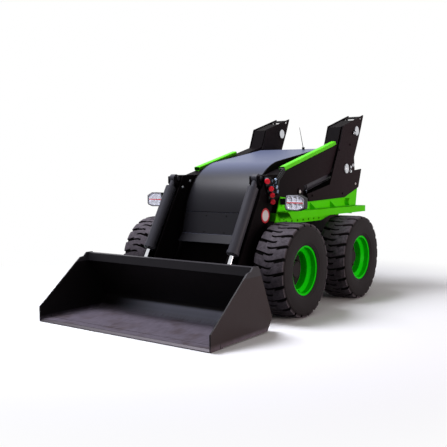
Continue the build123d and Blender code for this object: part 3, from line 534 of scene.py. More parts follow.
def make_rim_paint(green, black):
    """Gloss green on the wheel; the disc and hub in its middle are dark: the hub's own dark paint, and
    painted shade over the disc deep in the dish. The distance from the nearer axle's line parts the two."""
    add, place = finish("rim_gloss_paint")
    distances = []
    for _, y, z in (FRONT_AXLE, REAR_AXLE):
        flat = add("Mapping", {0: place, "Location": (0.0, -y, -z), "Scale": (0.0, 1.0, 1.0)})
        distances.append(add("VectorMath LENGTH", (flat,), "Value"))
    disc, edge = 0.1665, 0.001   # the black disc's radius, and half its edge's width
    # painted shade over the disc, and the hub's own dark paint, inside the disc's radius
    hub = add("MapRange", (add("Math MINIMUM", distances), disc + edge, disc - edge))
    tone = add("Mix RGBA", {0: hub, MIX_A: green, MIX_B: black}, MIXED)
    bump, _ = relief(add, place, 0.25, 0.0004, 9)
    surfaced(add, tone, 0.36, bump, 0.03)


def make_metal(name, colour, roughness, grain_mm, metallic=1.0):
    """Bare or plated steel or aluminium with a fine turned or rolled grain."""
    add, place = finish(name)
    tone = clouded(add, place, colour, 0.84, 1.08, 60, 4.0)
    bump, lines = relief(add, place, 0.3, 0.0001, grain_mm, 5.0, 0.65)
    rough = add("MapRange", (lines, 0.0, 1.0, roughness * 0.75, roughness * 1.3))
    surfaced(add, tone, rough, bump, metallic=metallic)


def make_plastic(name, colour, roughness, gloss=0.3):
    """Injection-moulded plastic with a fine spark-eroded grain, drawn 2 mm wide so that it shows."""
    add, place = finish(name)
    tone = clouded(add, place, colour, 0.93, 1.07, 40)
    bump, _ = relief(add, place, 0.2, 0.0002, 2)
    surfaced(add, tone, roughness, bump, gloss)


def make_coupler_finish(plating, paint, bracket_x):
    """Bluish zinc-nickel plate on the turned couplers. Their bracket, up to bracket_x, is painted black."""
    add, place = finish("coupler_plating")
    metal = add("MapRange", (add("SeparateXYZ", (place,), "X"), bracket_x, bracket_x + 0.0004))
    tone = add("Mix RGBA", {0: metal, MIX_A: paint, MIX_B: plating}, MIXED)
    bump, lines = relief(add, place, 0.3, 0.0001, 2, 5.0, 0.65)
    rough = add("MapRange", (lines, 0.0, 1.0, 0.26, 0.44))
    surfaced(add, tone, rough, bump, 0.1, metal)


def make_lens():
    """Clear moulded polycarbonate, very slightly wavy."""
    add, place = finish("clear_polycarbonate")
    bump, _ = relief(add, place, 0.05, 0.0002, 8)
    surfaced(add, linear("#F4F6FA"), 0.05, bump, IOR=1.58, Transmission_Weight=1.0)


# ---- operators -------------------------------------------------------------------------------------


class LOADER_OT_finishes(bpy.types.Operator):
    """Paints every carried-over piece of the frame with the finish of its slot, or its own"""
    bl_idname = "loader.finishes"
    bl_label = "Painted finishes"

    coats = (("barrel_paint", "#3B3A41", 0.45, 2.5, 0.16), ("battery_case_paint", "#2C2D30", 0.5, 3.0, 0.3))
    metals = (("worn_edge_steel", "#4E484D", 0.5, 4.0, 0.5), ("hard_chrome", "#D8DADF", 0.14, 1.5),
              ("zinc_plate", "#C9CBD0", 0.36, 2.0), ("phosphated_steel", "#3A393D", 0.42, 2.0),
              ("zinc_nickel_plate", "#7C8A9E", 0.30, 2.0), ("vapour_aluminium", "#E6E4EE", 0.22, 3.0))
    plastics = (("lamp_shell_plastic", "#141418", 0.42, 0.2), ("lamp_trim_plastic", "#B2B0BC", 0.35),
                ("hose_rubber", "#121214", 0.45, 0.15), ("black_polypropylene", "#111113", 0.5, 0.12),
                # white vinyl serves the blank label and the painted glints of the white caps
                ("red_polyethylene", "#FF1430", 0.32), ("white_vinyl", "#D9D5D8", 0.4),
                ("red_vinyl", "#C8142C", 0.4))

    def execute(self, context):
        paint = context.scene.loader_paint
        black = tuple(paint.black)
        make_powder_coat("green_powder_coat", tuple(paint.green), 0.42, 6.0, 0.03)
        # painted highlight: the guard tubes' lighter green stands for the bright light on them
        make_powder_coat("guard_tube_coat", tuple(paint.tube), 0.36, 6.0, 0.06)
        # the black coat's last colour is its painted sheen on the side faces
        make_powder_coat("black_powder_coat", black, 0.52, 3.0, 0.02, tuple(paint.dust))
        make_cover_paint(tuple(paint.cover))
        make_bucket_paint(tuple(paint.bucket))
        make_tyre_rubber(tuple(paint.rubber), tuple(paint.scuff))
        make_rim_paint(tuple(paint.rim), linear("#2B2428"))
        make_coupler_finish(linear("#6F8096"), black, BRACKET_X + 0.0002)
        make_lens()
        for make, table in ((make_powder_coat, self.coats), (make_metal, self.metals),
                            (make_plastic, self.plastics)):
            for name, colour, *sizes in table:
                make(name, linear(colour), *sizes)
        for name, thing in nodes.items():
            chosen = NODE_FINISH.get(name, SLOT_FINISH[slot_of[name]])
            if name.startswith("rim_"):
                chosen = "rim_gloss_paint"
            elif "_barrel_" in name:
                chosen = "barrel_paint"
            thing.data.materials.clear()
            thing.data.materials.append(finishes[chosen])
        return {"FINISHED"}


def smooth_step(value):
    value = np.clip(value, 0.0, 1.0)
    return value * value * (3 - 2 * value)


TREAD_HALF = 0.142               # the lugs' outer ends, from the tyre's middle plane
SHOULDER_RISE = 0.026            # where a lug's shoulder half starts to widen
WIDENING = 0.034                 # the way over which it widens
RING_DROP = 0.0320               # how far inside the tyre's radius its side wall ends
TOP_DROP = 0.0075                # how far a lug's top falls away towards the shoulder
NARROW, WIDE = 0.335, 0.715      # a lug's width near the middle and at the shoulder, in pitches
DRAFT = 0.045                    # how wide a lug's sloping flank is, in pitches
OFF_TREAD = 0.4                  # the lug attribute on the side walls


def tyre_profile(depth):
    """Section of the carcass with bare grooves, from the outer bead over the tread to the inner bead, then
    back inside: x, radius, and how far a lug stands out of it there. x = 0 is the tyre's middle plane."""
    floor, ring = TYRE_RADIUS - depth, TYRE_RADIUS - RING_DROP
    wall = np.array([(0.1315, 0.2240), (0.1325, 0.2178), (0.1352, 0.2172), (0.1378, 0.2205), (0.1440, 0.2370),
                     (0.1478, 0.2465), (0.1490, 0.2480), (0.1530, 0.2790), (0.1549, 0.3080), (0.1543, 0.3340),
                     (0.1526, 0.3560), (0.1522, 0.3592), (0.1534, 0.3612), (0.1528, 0.3650), (0.1503, 0.3790),
                     (0.1478, ring - 0.0030), (0.1462, ring)])
    across = np.linspace(TREAD_HALF, -TREAD_HALF, 73)
    edge = smooth_step((np.abs(across) - 0.100) / 0.042)
    tread = floor + (ring + 0.001 - floor) * edge
    top = TYRE_RADIUS - TOP_DROP * smooth_step((np.abs(across) - 0.098) / 0.044)
    inside = [(-0.1175, 0.2240), (-0.1165, 0.2110), (-0.104, 0.2110), (-0.110, 0.260), (-0.100, 0.345)]
    inner = np.array(inside + [(0.0, 0.362)] + [(-x, radius) for x, radius in inside[::-1]])
    x = np.concatenate([wall[:, 0], across, -wall[::-1, 0], inner[:, 0]])
    radius = np.concatenate([wall[:, 1], tread, wall[::-1, 1], inner[:, 1]])
    rise = np.concatenate([0 * wall[:, 0], top - tread, 0 * wall[:, 0], 0 * inner[:, 0]])
    return x, radius, rise


def tyre_surface(lugs, depth, reach, sweep):
    """Tyre as radius(angle, x) carried round the axle. Distance round the tread is counted in pitches from a
    lug's trailing edge, along lines that sweep forwards from the middle to both shoulders as |x| to the power
    1.3. A lug covers it from 0 to its width, which widens on the leading side where the shoulder half begins,
    and reaches a little past the middle. The other side's lugs stand half a pitch on, so the two rows lock
    together."""
    x, base, rise = tyre_profile(depth)
    pitch = 2 * math.pi / lugs
    length = pitch * TYRE_RADIUS
    edges = np.array((0.0, 0.5, NARROW, NARROW + 0.5, WIDE, WIDE - 0.5))
    steps = np.concatenate([edges, (edges[:2] - DRAFT), (edges[2:] + DRAFT), np.arange(20) / 20])
    steps = np.unique(np.round(steps % 1.0, 3))
    steps = steps[np.concatenate([[True], np.diff(steps) > 0.007])]
    u = (np.arange(lugs)[:, None] + steps[None, :]).reshape(-1, 1)
    across = x[None, :]
    height = np.zeros((len(u), len(x)))
    for side, start in ((1, 0.0), (-1, 0.5)):
        inward = side * across
        place = (u - start + DRAFT) % 1.0 - DRAFT
        width = NARROW + (WIDE - NARROW) * smooth_step((inward - SHOULDER_RISE) / WIDENING)
        within = np.clip(place / DRAFT + 1.0, 0, 1) * np.clip((width - place) / DRAFT + 1.0, 0, 1)
        height = np.maximum(height, within * np.clip((inward + reach) / 0.005 + 1.0, 0, 1))
    lead = sweep / length * (np.abs(across) / TREAD_HALF) ** 1.3 * (np.abs(across) < 0.1460)
    lead = np.where(rise[None, :] > 0, lead, sweep / length)
    angle = (u + lead) * pitch
    radius = base[None, :] + height * rise[None, :]
    points = np.stack([across + 0 * angle, -radius * np.cos(angle), radius * np.sin(angle)], axis=-1)
    lug = np.where(rise[None, :] > 0, height, OFF_TREAD)
    return points.reshape(-1, 3), [grid_faces(len(u), len(x), True, True)[:, ::-1]], lug.ravel()


class LOADER_OT_tyres(bpy.types.Operator):
    """Four lug tyres, their interlocked bars computed round the whole carcass"""
    bl_idname = "loader.tyres"
    bl_label = "Lug tyres"

    # how far each wheel has rolled, in degrees upwards at its front
    rolled = {"front_left": 0.5, "front_right": 2.3, "rear_left": 5.0, "rear_right": 9.0}

    def execute(self, context):
        tyre = context.scene.loader_tyre
        points, faces, lug = tyre_surface(tyre.lugs, tyre.depth, tyre.reach, tyre.sweep)
        x, y, z = points.T
        for place, degrees in self.rolled.items():
            cos, sin = math.cos(math.radians(degrees)), math.sin(math.radians(degrees))
            moved = np.stack([x, y * cos + z * sin, z * cos - y * sin], axis=1)
            if place.endswith("right"):
                moved = moved * np.array((-1.0, -1.0, 1.0))
            thing = piece("lug_tyre_" + place, (moved + wheel_centre(place), faces), "wheel_" + place,
                          "tyre_rubber", 30.0, replaced=("tyre_" + place,))
            worn = thing.data.attributes.new("lug", "FLOAT", "POINT")
            worn.data.foreach_set("value", lug.astype(np.float32))
        return {"FINISHED"}


LAMP_SHAPE = 0.70                # about the lamp's height as a share of its width
TRIM_LINE = 0.0085               # how far inside the lamp's outline its trim ring's middle lies


def lamp_outline(shrink):
    """The lamp's lopsided eight-cornered front, drawn in by shrink, as (across, up) from its middle, its
    corners eased by averaging neighbours."""
    wide, tall = 0.099 - shrink, 0.070 - shrink
    corners = np.array([(-wide, -tall + 0.034), (-wide + 0.012, -tall + 0.004), (wide - 0.062, -tall),
                        (wide - 0.008, -tall + 0.018), (wide, -tall + 0.034), (wide, tall - 0.030),
                        (wide - 0.060, tall), (-wide + 0.010, tall - 0.002)])
    share = np.arange(24)[None, :, None] / 24
    fine = (corners[:, None] * (1 - share) + np.roll(corners, -1, axis=0)[:, None] * share).reshape(-1, 2)
    for shift in (1, 2, 3):
        fine = (np.roll(fine, shift, axis=0) + fine + np.roll(fine, -shift, axis=0)) / 3
    return fine


def lamp_points(flat, depth):
    """Points of the lamp's front plane, given as (across, up), at a depth behind the housing's front."""
    x, y, z = LAMP_MIDDLE
    return np.stack([x + flat[..., 0], y + depth + 0 * flat[..., 0], z + flat[..., 1]], axis=-1)


def fitted_square(shrink, columns, rows):
    """A grid over [-1, 1] squared, and its places inside the lamp's outline: each point keeps its direction
    and its share of the way from the middle to the edge."""
    p, q = np.meshgrid(np.linspace(-1, 1, columns), np.linspace(-1, 1, rows))
    edge = lamp_outline(shrink)
    bearing = np.arctan2(edge[:, 1], edge[:, 0])
    order = np.argsort(bearing)
    share = np.maximum(np.abs(p), np.abs(q))
    way = np.arctan2(q * LAMP_SHAPE, p)
    far = np.interp(way, bearing[order], np.hypot(edge[order, 0], edge[order, 1]), period=2 * np.pi)
    return p, q, np.stack([share * far * np.cos(way), share * far * np.sin(way)], axis=-1)


def reflector_shape():
    """Two rows of three dishes pressed into one bright sheet. In each cell the sheet lies deeper by the
    dish's depth times one less the squared distance from the cell's middle, and a small bulb dome stands in
    the dish."""
    p, q, flat = fitted_square(0.0135, 79, 53)
    sheet, dish, bulb, back = 0.0040, 0.0080, 0.0050, 0.0136
    spread = 0.075               # a bulb dome's squared radius, in half cells
    a, b = (p + 1) * 1.5 % 1.0 * 2 - 1, (q + 1) % 1.0 * 2 - 1
    away = np.clip(a * a + b * b, 0, 1)
    dome = np.sqrt(np.clip(1 - (a * a + b * b) / spread, 0, 1))
    depth = sheet + dish * (1 - away) - bulb * dome
    return slab(lamp_points(flat, depth), lamp_points(flat, np.full(p.shape, back)))


def lens_shape():
    """A clear cover, flat behind and 0.6 mm thick at its edge, that bulges 1.8 mm forwards at its middle."""
    p, q, flat = fitted_square(0.0100, 25, 17)
    bulge = 0.0018 * np.clip(1 - p * p, 0, 1) * np.clip(1 - q * q, 0, 1)
    return slab(lamp_points(flat, 0.0030 - bulge), lamp_points(flat, 0.0036 + 0 * p))


def bezel_shape():
    """A rounded trim ring that follows the lamp's outline: a half-round section of six points carried round
    it."""
    angle = np.pi * np.arange(6) / 5
    shrink = TRIM_LINE - 0.0050 * np.cos(angle)
    depth = 0.0010 - 0.0030 * np.sin(angle)
    middle = lamp_outline(TRIM_LINE)
    inward = lamp_outline(0.0135) - lamp_outline(0.0035)
    rings = middle[None] + inward[None] * ((shrink - TRIM_LINE) / 0.010)[:, None, None]
    points = np.stack([lamp_points(ring, d) for ring, d in zip(rings, depth)])
    return points.reshape(-1, 3), [grid_faces(6, len(middle), True, True)[:, ::-1]]


class LOADER_OT_lamps(bpy.types.Operator):
    """Work lamps: pressed reflectors with six bulbs, a red bar, a clear cover, a trim ring and cooling
    fins"""
    bl_idname = "loader.lamps"
    bl_label = "Work lamps"

    def execute(self, context):
        x, y, z = LAMP_MIDDLE
        bar = plate(rectangle(y + 0.0030, y + 0.0085, z - 0.0050, z + 0.0050), x - 0.082, x + 0.082, 0.002)
        fin = rectangle(y + 0.046, y + 0.070, z - 0.052, z + 0.052)
        fins = joined([plate(fin, x + shift - 0.0012, x + shift + 0.0012, 0.0005)
                       for shift in np.linspace(-0.062, 0.062, 9)])
        for side, mirror in SIDES:
            stands_for = ("lamp_lenses",) if side == "left" else ()
            for name, shape, slot, sharp, finish_name, replaced in (
                    ("reflector", reflector_shape(), "lamp_glass", 40, "vapour_aluminium", ()),
                    ("cover", lens_shape(), "lamp_glass", 50, None, stands_for),
                    ("trim", bezel_shape(), "lamp_shell", 50, "lamp_trim_plastic", ()),
                    ("bar", bar, "red_plastic", None, None, ()),
                    ("fins", fins, "lamp_shell", None, None, ())):
                piece(f"lamp_{name}_{side}", mirror(shape), "chassis", slot, sharp, finish_name, replaced)
        return {"FINISHED"}


def pin_cap(radius, thick):
    """A domed cap with a rolled rim, along +X from x = 0."""
    rim = [(0.0, radius), (thick * 0.6, radius), (thick, radius * 0.94), (thick, radius * 0.80),
           (thick * 0.72, radius * 0.74)]
    dome = [(thick * 0.72, radius * 0.24), (thick * 1.15, radius * 0.20), (thick * 1.5, radius * 0.10)]
    return lathe(rim + dome, 36)


class LOADER_OT_pins(bpy.types.Operator):
    """Machined faces, keeper plates, bolts and grease nipples at the linkage's pins"""
    bl_idname = "loader.pins"
    bl_label = "Pins and keepers"

    def execute(self, context):
        caps = [stood(pin_cap(0.043, 0.004), (PIN_HEAD_X, *pin), OUT) for pin in (LIFT_PIVOT, LIFT_BASE_PIN)]
        piece("tower_pin_faces", both_sides(joined(caps)), "chassis", "zinc_pin", TURNED)
        keepers, bolts = [], []
        for pin, (dy, dz) in ((LIFT_PIVOT, (-0.062, -0.020)), (LIFT_BASE_PIN, (0.070, 0.014))):
            length = math.hypot(dy, dz)
            way, off = np.array((dy, dz)) / length, np.array((-dz, dy)) / length
            line = [np.array(pin) + way * a + off * b
                    for a, b in ((0.042, -0.016), (0.098, -0.016), (0.108, -0.006),
                                 (0.108, 0.006), (0.098, 0.016), (0.042, 0.016))]
            keepers.append(plate(line, TOWER_OUTER_X, PIN_HEAD_X + 0.004))
            spot = np.array(pin) + way * 0.086
            bolts.append(stood(hex_bolt(0.014), (PIN_HEAD_X + 0.004, *spot), OUT))
        piece("pin_keepers", both_sides(joined(keepers)), "chassis", "black_powder_coat")
        bolts += [stood(hex_bolt(0.016), (TOWER_OUTER_X, *spot), OUT)
                  for spot in ((1.4036, 1.3446), (1.3424, 1.2788))]
        piece("tower_bolts", both_sides(joined(bolts)), "chassis", "zinc_pin")
        # painted glint: the tower's small domed cap is white, standing in for a bright reflection
        cap = lathe([(0.0, 0.0125), (0.004, 0.0125), (0.007, 0.0095), (0.0085, 0.004)], 20)
        cap = stood(cap, (TOWER_OUTER_X, 1.4691, 1.1441), OUT)
        piece("tower_cap", both_sides(cap), "chassis", "zinc_pin", TURNED, "white_vinyl")
        # painted glint: the cap on the lift rod's pin is white, standing in for a bright reflection
        cap = lathe([(0.0, 0.0165), (0.003, 0.0165), (0.006, 0.013), (0.0075, 0.005)], 22)
        cap = stood(cap, (ARM_OUTER_X + PIN_HEAD, *LIFT_ROD_PIN), OUT)
        piece("arm_pin_caps", both_sides(cap), "lift_arms", "zinc_pin", TURNED, "white_vinyl")
        knuckle = [stood(hex_bolt(0.012), (-ARM_INNER_X, *spot), OUT)
                   for spot in ((-0.2207, 1.1861), (-0.3340, 1.1290))]
        piece("arm_bolts", joined(knuckle + [flipped(shape) for shape in knuckle]), "lift_arms", "zinc_pin")
        nipple = lathe([(0.0, 0.006), (0.004, 0.006), (0.0045, 0.0035), (0.010, 0.003), (0.0115, 0.0042),
                        (0.014, 0.003)], 10)
        nipple = stood(nipple, (ARM_MIDDLE_X, LIFT_BASE_PIN[0], LIFT_BASE_PIN[1] + 0.039), UP)
        for side, mirror in SIDES:
            piece("barrel_nipple_" + side, mirror(nipple), "lift_barrel_" + side, "zinc_pin", TURNED)
        return {"FINISHED"}


def on_line(start, end, distance):
    """The point at a distance from one side-view point towards another, in the arm's middle, and the way."""
    way = np.array(end) - np.array(start)
    way /= np.linalg.norm(way)
    spot = np.array(start) + way * distance
    return np.array((ARM_MIDDLE_X, *spot)), np.array((0.0, *way))


def gland(bore, rod):
    """Screwed gland at a barrel's mouth: a plain ring, a step and a wiper lip round the rod, from x = -0.030
    to x = 0.0105 past the mouth."""
    outer, lip = bore / 2, rod / 2
    return ring_lathe([(-0.030, outer + 0.0005), (-0.030, outer + 0.0045), (-0.004, outer + 0.0045),
                       (0.0, outer + 0.0015), (0.0005, outer - 0.006), (0.006, lip + 0.010),
                       (0.010, lip + 0.006), (0.0105, lip + 0.0012), (0.0, lip + 0.0008),
                       (-0.0002, outer - 0.010)], 40)


def port(length, radius):
    """A hydraulic port boss with a hexagon adapter and a cap, along +X."""
    boss = [(0.0, radius * 1.3), (length * 0.45, radius * 1.3), (length * 0.5, radius * 1.18)]
    nut = [(length * 0.5, radius * 1.15), (length * 0.85, radius * 1.15), (length * 0.92, radius)]
    cap = [(length * 0.92, radius * 0.8), (length, radius * 0.8), (length * 1.02, radius * 0.7)]
    return joined([lathe(boss, 20), lathe(nut, 6), lathe(cap, 16)])


class LOADER_OT_hydraulics(bpy.types.Operator):
    """Glands, ports and pressure pipes on the cylinders, and crimped hose ends"""
    bl_idname = "loader.hydraulics"
    bl_label = "Hydraulic fittings"

    def execute(self, context):
        for kind, base, end, bore, rod, mouth, start in (
                ("tilt", TILT_BASE_PIN, TILT_ROD_PIN, 0.100, 0.040, 0.737, 0.150),
                ("lift", LIFT_BASE_PIN, LIFT_ROD_PIN, 0.090, 0.045, 0.790, 0.110)):
            spot, way = on_line(base, end, mouth)
            rings = stood(gland(bore, rod), spot, way)
            square = np.cross(way, OUT)
            square = square if square[1] > 0 else -square
            ports = [stood(port(0.030, 0.011), on_line(base, end, along)[0] + square * (bore / 2 - 0.003),
                           square) for along in (start, mouth - 0.050)]
            first, last = [on_line(base, end, along)[0] + square * (bore / 2 + 0.012)
                           for along in (start + 0.02, mouth - 0.070)]
            run = [first - square * 0.012, first, last, last - square * 0.012]
            pipe = tube(spaced(run, 0.006), 0.006, 10)
            for side, mirror in SIDES:
                body = f"{kind}_barrel_{side}"
                for name, shape, slot, sharp, paint in (
                        ("gland", rings, "black_powder_coat", TURNED, "barrel_paint"),
                        ("ports", joined(ports), "coupler_steel", None, None),
                        ("pipe", pipe, "black_powder_coat", TURNED, "barrel_paint")):
                    piece(f"{kind}_{name}_{side}", mirror(shape), body, slot, sharp, paint)
        self.hose_ends()
        return {"FINISHED"}

    @staticmethod
    def hose_ends():
        """Each hose's last run ends in a crimped ferrule, and a hexagon sits where it enters the bracket."""
        turn_y, turn_z = behind_axle(45, 1202.4)
        crimps = [(0.004 + 0.0035 * k, 0.0112 if k % 2 == 0 else 0.0100) for k in range(7)]
        ferrule = lathe([(0.0, 0.0085), (0.002, 0.0112)] + crimps + [(0.029, 0.0112), (0.031, 0.0085)], 18)
        nut = lathe([(0.0, 0.0125), (0.006, 0.0125), (0.008, 0.0105)], 6)
        ends = []
        for out, rise, foot in ((0.018, 0.0085, (-6, 1190)), (0.018, -0.0085, (14, 1150)),
                                (0.036, 0.0085, (0, 1110)), (0.036, -0.0085, (18, 1070))):
            low = np.array(behind_axle(*foot))
            way = np.array((turn_y, turn_z + rise)) - low
            way /= np.linalg.norm(way)
            ends.append(stood(ferrule, (BRACKET_X + out, *(low + way * 0.011)), (0.0, *way)))
            ends.append(stood(nut, (BRACKET_X, *low), OUT))
        piece("hose_ends", joined(ends), "lift_arms", "coupler_steel")


class LOADER_OT_bucket_trim(bpy.types.Operator):
    """Weld seams of the bucket's floor, edge, side walls and ears"""
    bl_idname = "loader.bucket_trim"
    bl_label = "Bucket trim"

    def execute(self, context):
        half, floor = 0.903, 0.020
        lip = float(node_box("cutting_edge")[0][1])
        seams = [weld([(-half, y, z), (half, y, z)], bead, UP)
                 for y, z, bead in ((lip + 0.118, floor, 0.0032), (-0.900, floor + 0.0015, 0.0032),
                                    (lip + 0.0305, floor, 0.0030))]
        inner = side_path([(lip + 0.03, 0.021), (-0.990, 0.021), (-0.945, 0.033), (-0.900, 0.063),
                           (-0.868, 0.094), (-0.846, 0.128), (-0.862, 0.170), (-1.079, 0.515)], half)
        seams.append(both_sides(weld(inner, 0.0042)))
        piece("bucket_welds", joined(seams), "bucket_carrier", "bucket_paint", BEAD)
        foot, along, out = np.array((-0.829, 0.112)), np.array((-0.513, 0.858)), np.array((0.858, 0.513))
        low, high = foot + along * 0.03 + out * 0.0145, foot + along * 0.235 + out * 0.0145
        ears = [weld(side_path([low, high], x + shift + inset), 0.004)
                for x, inset in ((ARM_INNER_X - PIN_HEAD, -0.006), (ARM_OUTER_X + PIN_HEAD, 0.006))
                for shift in (-0.0125, 0.0125)]
        piece("ear_welds", both_sides(joined(ears)), "bucket_carrier", "black_powder_coat", BEAD)
        return {"FINISHED"}


class LOADER_OT_fasteners(bpy.types.Operator):
    """Bolts of the green frames, towers and lamp brackets, and the screws of the front panel and the rear
    door"""
    bl_idname = "loader.fasteners"
    bl_label = "Fasteners"

    def execute(self, context):
        small = hex_bolt(0.010)
        skirt = [(120, 838), (200, 838), (150, 965), (330, 965), (560, 965)]
        green = at_places(small, [(SKIRT_X, *behind_axle(*spot)) for spot in skirt], OUT)
        ledge_x = node_box("side_frame_left")[1][0] - 0.055
        top = at_places(small, [(ledge_x, *behind_axle(y, LEDGE_MM)) for y in (95, 180, 265)], UP)
        piece("frame_bolts", both_sides(joined([green, top])), "chassis", "green_paint")
        tower = [(TOWER_OUTER_X, *behind_axle(*spot))
                 for spot in ((720, 1040), (1390, 1045), (1560, 1560), (1300, 1500))]
        tower = at_places(hex_bolt(0.012), tower, OUT)
        piece("tower_plate_bolts", both_sides(tower), "chassis", "black_powder_coat")
        bracket = [(SKIRT_X + 0.0125, behind(126) + 0.040, LAMP_MIDDLE[2] + shift)
                   for shift in (-0.016, 0.016)]
        piece("lamp_bolts", both_sides(at_places(small, bracket, OUT)), "chassis", "zinc_pin")
        button = lathe([(0.0, 0.0085), (0.0015, 0.0085), (0.0035, 0.0070), (0.0048, 0.0035)], 16)
        rise = np.array((0.058, 0.214)) / math.hypot(0.058, 0.214)
        panel = [(x, *(np.array((-0.382, 0.686)) + rise * share))
                 for share in (0.035, 0.190) for x in (-0.335, -0.115, 0.115, 0.335)]
        door = [(x, DOOR_Y, z) for x in (-0.325, 0.325) for z in (0.70, 0.95, 1.20, 1.44)]
        for name, places, axis, body in (("panel_screws", panel, (0.0, -rise[1], rise[0]), "chassis"),
                                         ("door_screws", door, BACK, "rear_door")):
            piece(name, at_places(button, places, axis), body, "grey_cover", TURNED, "black_polypropylene")
        return {"FINISHED"}


class LOADER_OT_welds(bpy.types.Operator):
    """Weld beads of the arms' pivots and cross tube, the towers' feet and the ledges"""
    bl_idname = "loader.welds"
    bl_label = "Welds"

    def execute(self, context):
        runs = (((70, LEDGE_MM), (600, LEDGE_MM)), ((640, LEDGE_MM), (1700, LEDGE_MM)),
                ((655, 984), (1437, 1003)))
        beads = [weld(side_path([behind_axle(*spot) for spot in run], SKIRT_X)) for run in runs]
        piece("frame_welds", both_sides(joined(beads)), "chassis", "green_paint", BEAD)
        low, high = node_box("arm_cross_tube")
        centre = (low + high) / 2
        beads = [ring_weld(x, centre[1:], 0.059, 0.0042) for x in (-ARM_INNER_X + 0.001, ARM_INNER_X - 0.001)]
        beads.append(both_sides(ring_weld(ARM_OUTER_X, LIFT_PIVOT, 0.066, 0.0035)))
        piece("arm_welds", joined(beads), "lift_arms", "black_powder_coat", BEAD)
        return {"FINISHED"}


class LOADER_OT_rear(bpy.types.Operator):
    """Door latch and tail lamps at the back of the machine"""
    bl_idname = "loader.rear"
    bl_label = "Rear fittings"

    def execute(self, context):
        base = plate([(-0.050, -0.075), (0.050, -0.075), (0.058, -0.060), (0.058, 0.060), (0.050, 0.075),
                      (-0.050, 0.075), (-0.058, 0.060), (-0.058, -0.060)], 0.0, 0.005)
        paddle = plate([(-0.038, -0.020), (0.038, -0.020), (0.042, -0.012), (0.042, 0.050), (0.034, 0.058),
                        (-0.034, 0.058), (-0.042, 0.050), (-0.042, -0.012)], 0.005, 0.013, 0.003)
        lock = stood(lathe([(0.005, 0.011), (0.010, 0.011), (0.012, 0.008)], 20), (0.0, 0.0, -0.048), OUT)
        latch = stood(joined([base, paddle, lock]), (0.285, DOOR_Y, 1.02), BACK)
        piece("door_latch", latch, "rear_door", "black_plastic")
        housing = [(0.0, 0.046), (0.012, 0.046), (0.016, 0.042), (0.016, 0.038)]
        lens = [(0.004, 0.038), (0.016, 0.038), (0.022, 0.030), (0.025, 0.016), (0.0255, 0.004)]
        for name, section, slot in (("shells", housing, "black_plastic"), ("lenses", lens, "red_plastic")):
            lamp = stood(lathe(section, 36), (ARM_MIDDLE_X, behind(1710), 1.185), BACK)
            piece("tail_lamp_" + name, both_sides(lamp), "chassis", slot, TURNED)
        return {"FINISHED"}


class LOADER_OT_labels(bpy.types.Operator):
    """Blank round vinyl label with a red border on the left leg"""
    bl_idname = "loader.labels"
    bl_label = "Blank label"

    def execute(self, context):
        field = lathe([(0.0, 0.050), (0.0005, 0.0497)], 48)
        border = ring_lathe([(0.0, 0.050), (0.0, 0.0665), (0.0006, 0.0662), (0.0006, 0.0503)], 48)
        for name, shape, colour in (("field", field, "white_vinyl"), ("border", border, "red_vinyl")):
            shape = stood(shape, (ARM_OUTER_X, -0.3300, 0.8850), OUT)
            piece("label_" + name, shape, "lift_arms", "red_plastic", finish_name=colour)
        return {"FINISHED"}


WHITE = (1.0, 1.0, 1.0, 1.0)


def seen_rays(add):
    """1 for the rays that look at a surface directly, in a reflection, or through glass, and 0 for light."""
    path = add("LightPath", out=None).outputs
    first = add("Math MAXIMUM", (path["Is Camera Ray"], path["Is Glossy Ray"]))
    return add("Math MAXIMUM", (first, path["Is Transmission Ray"]))


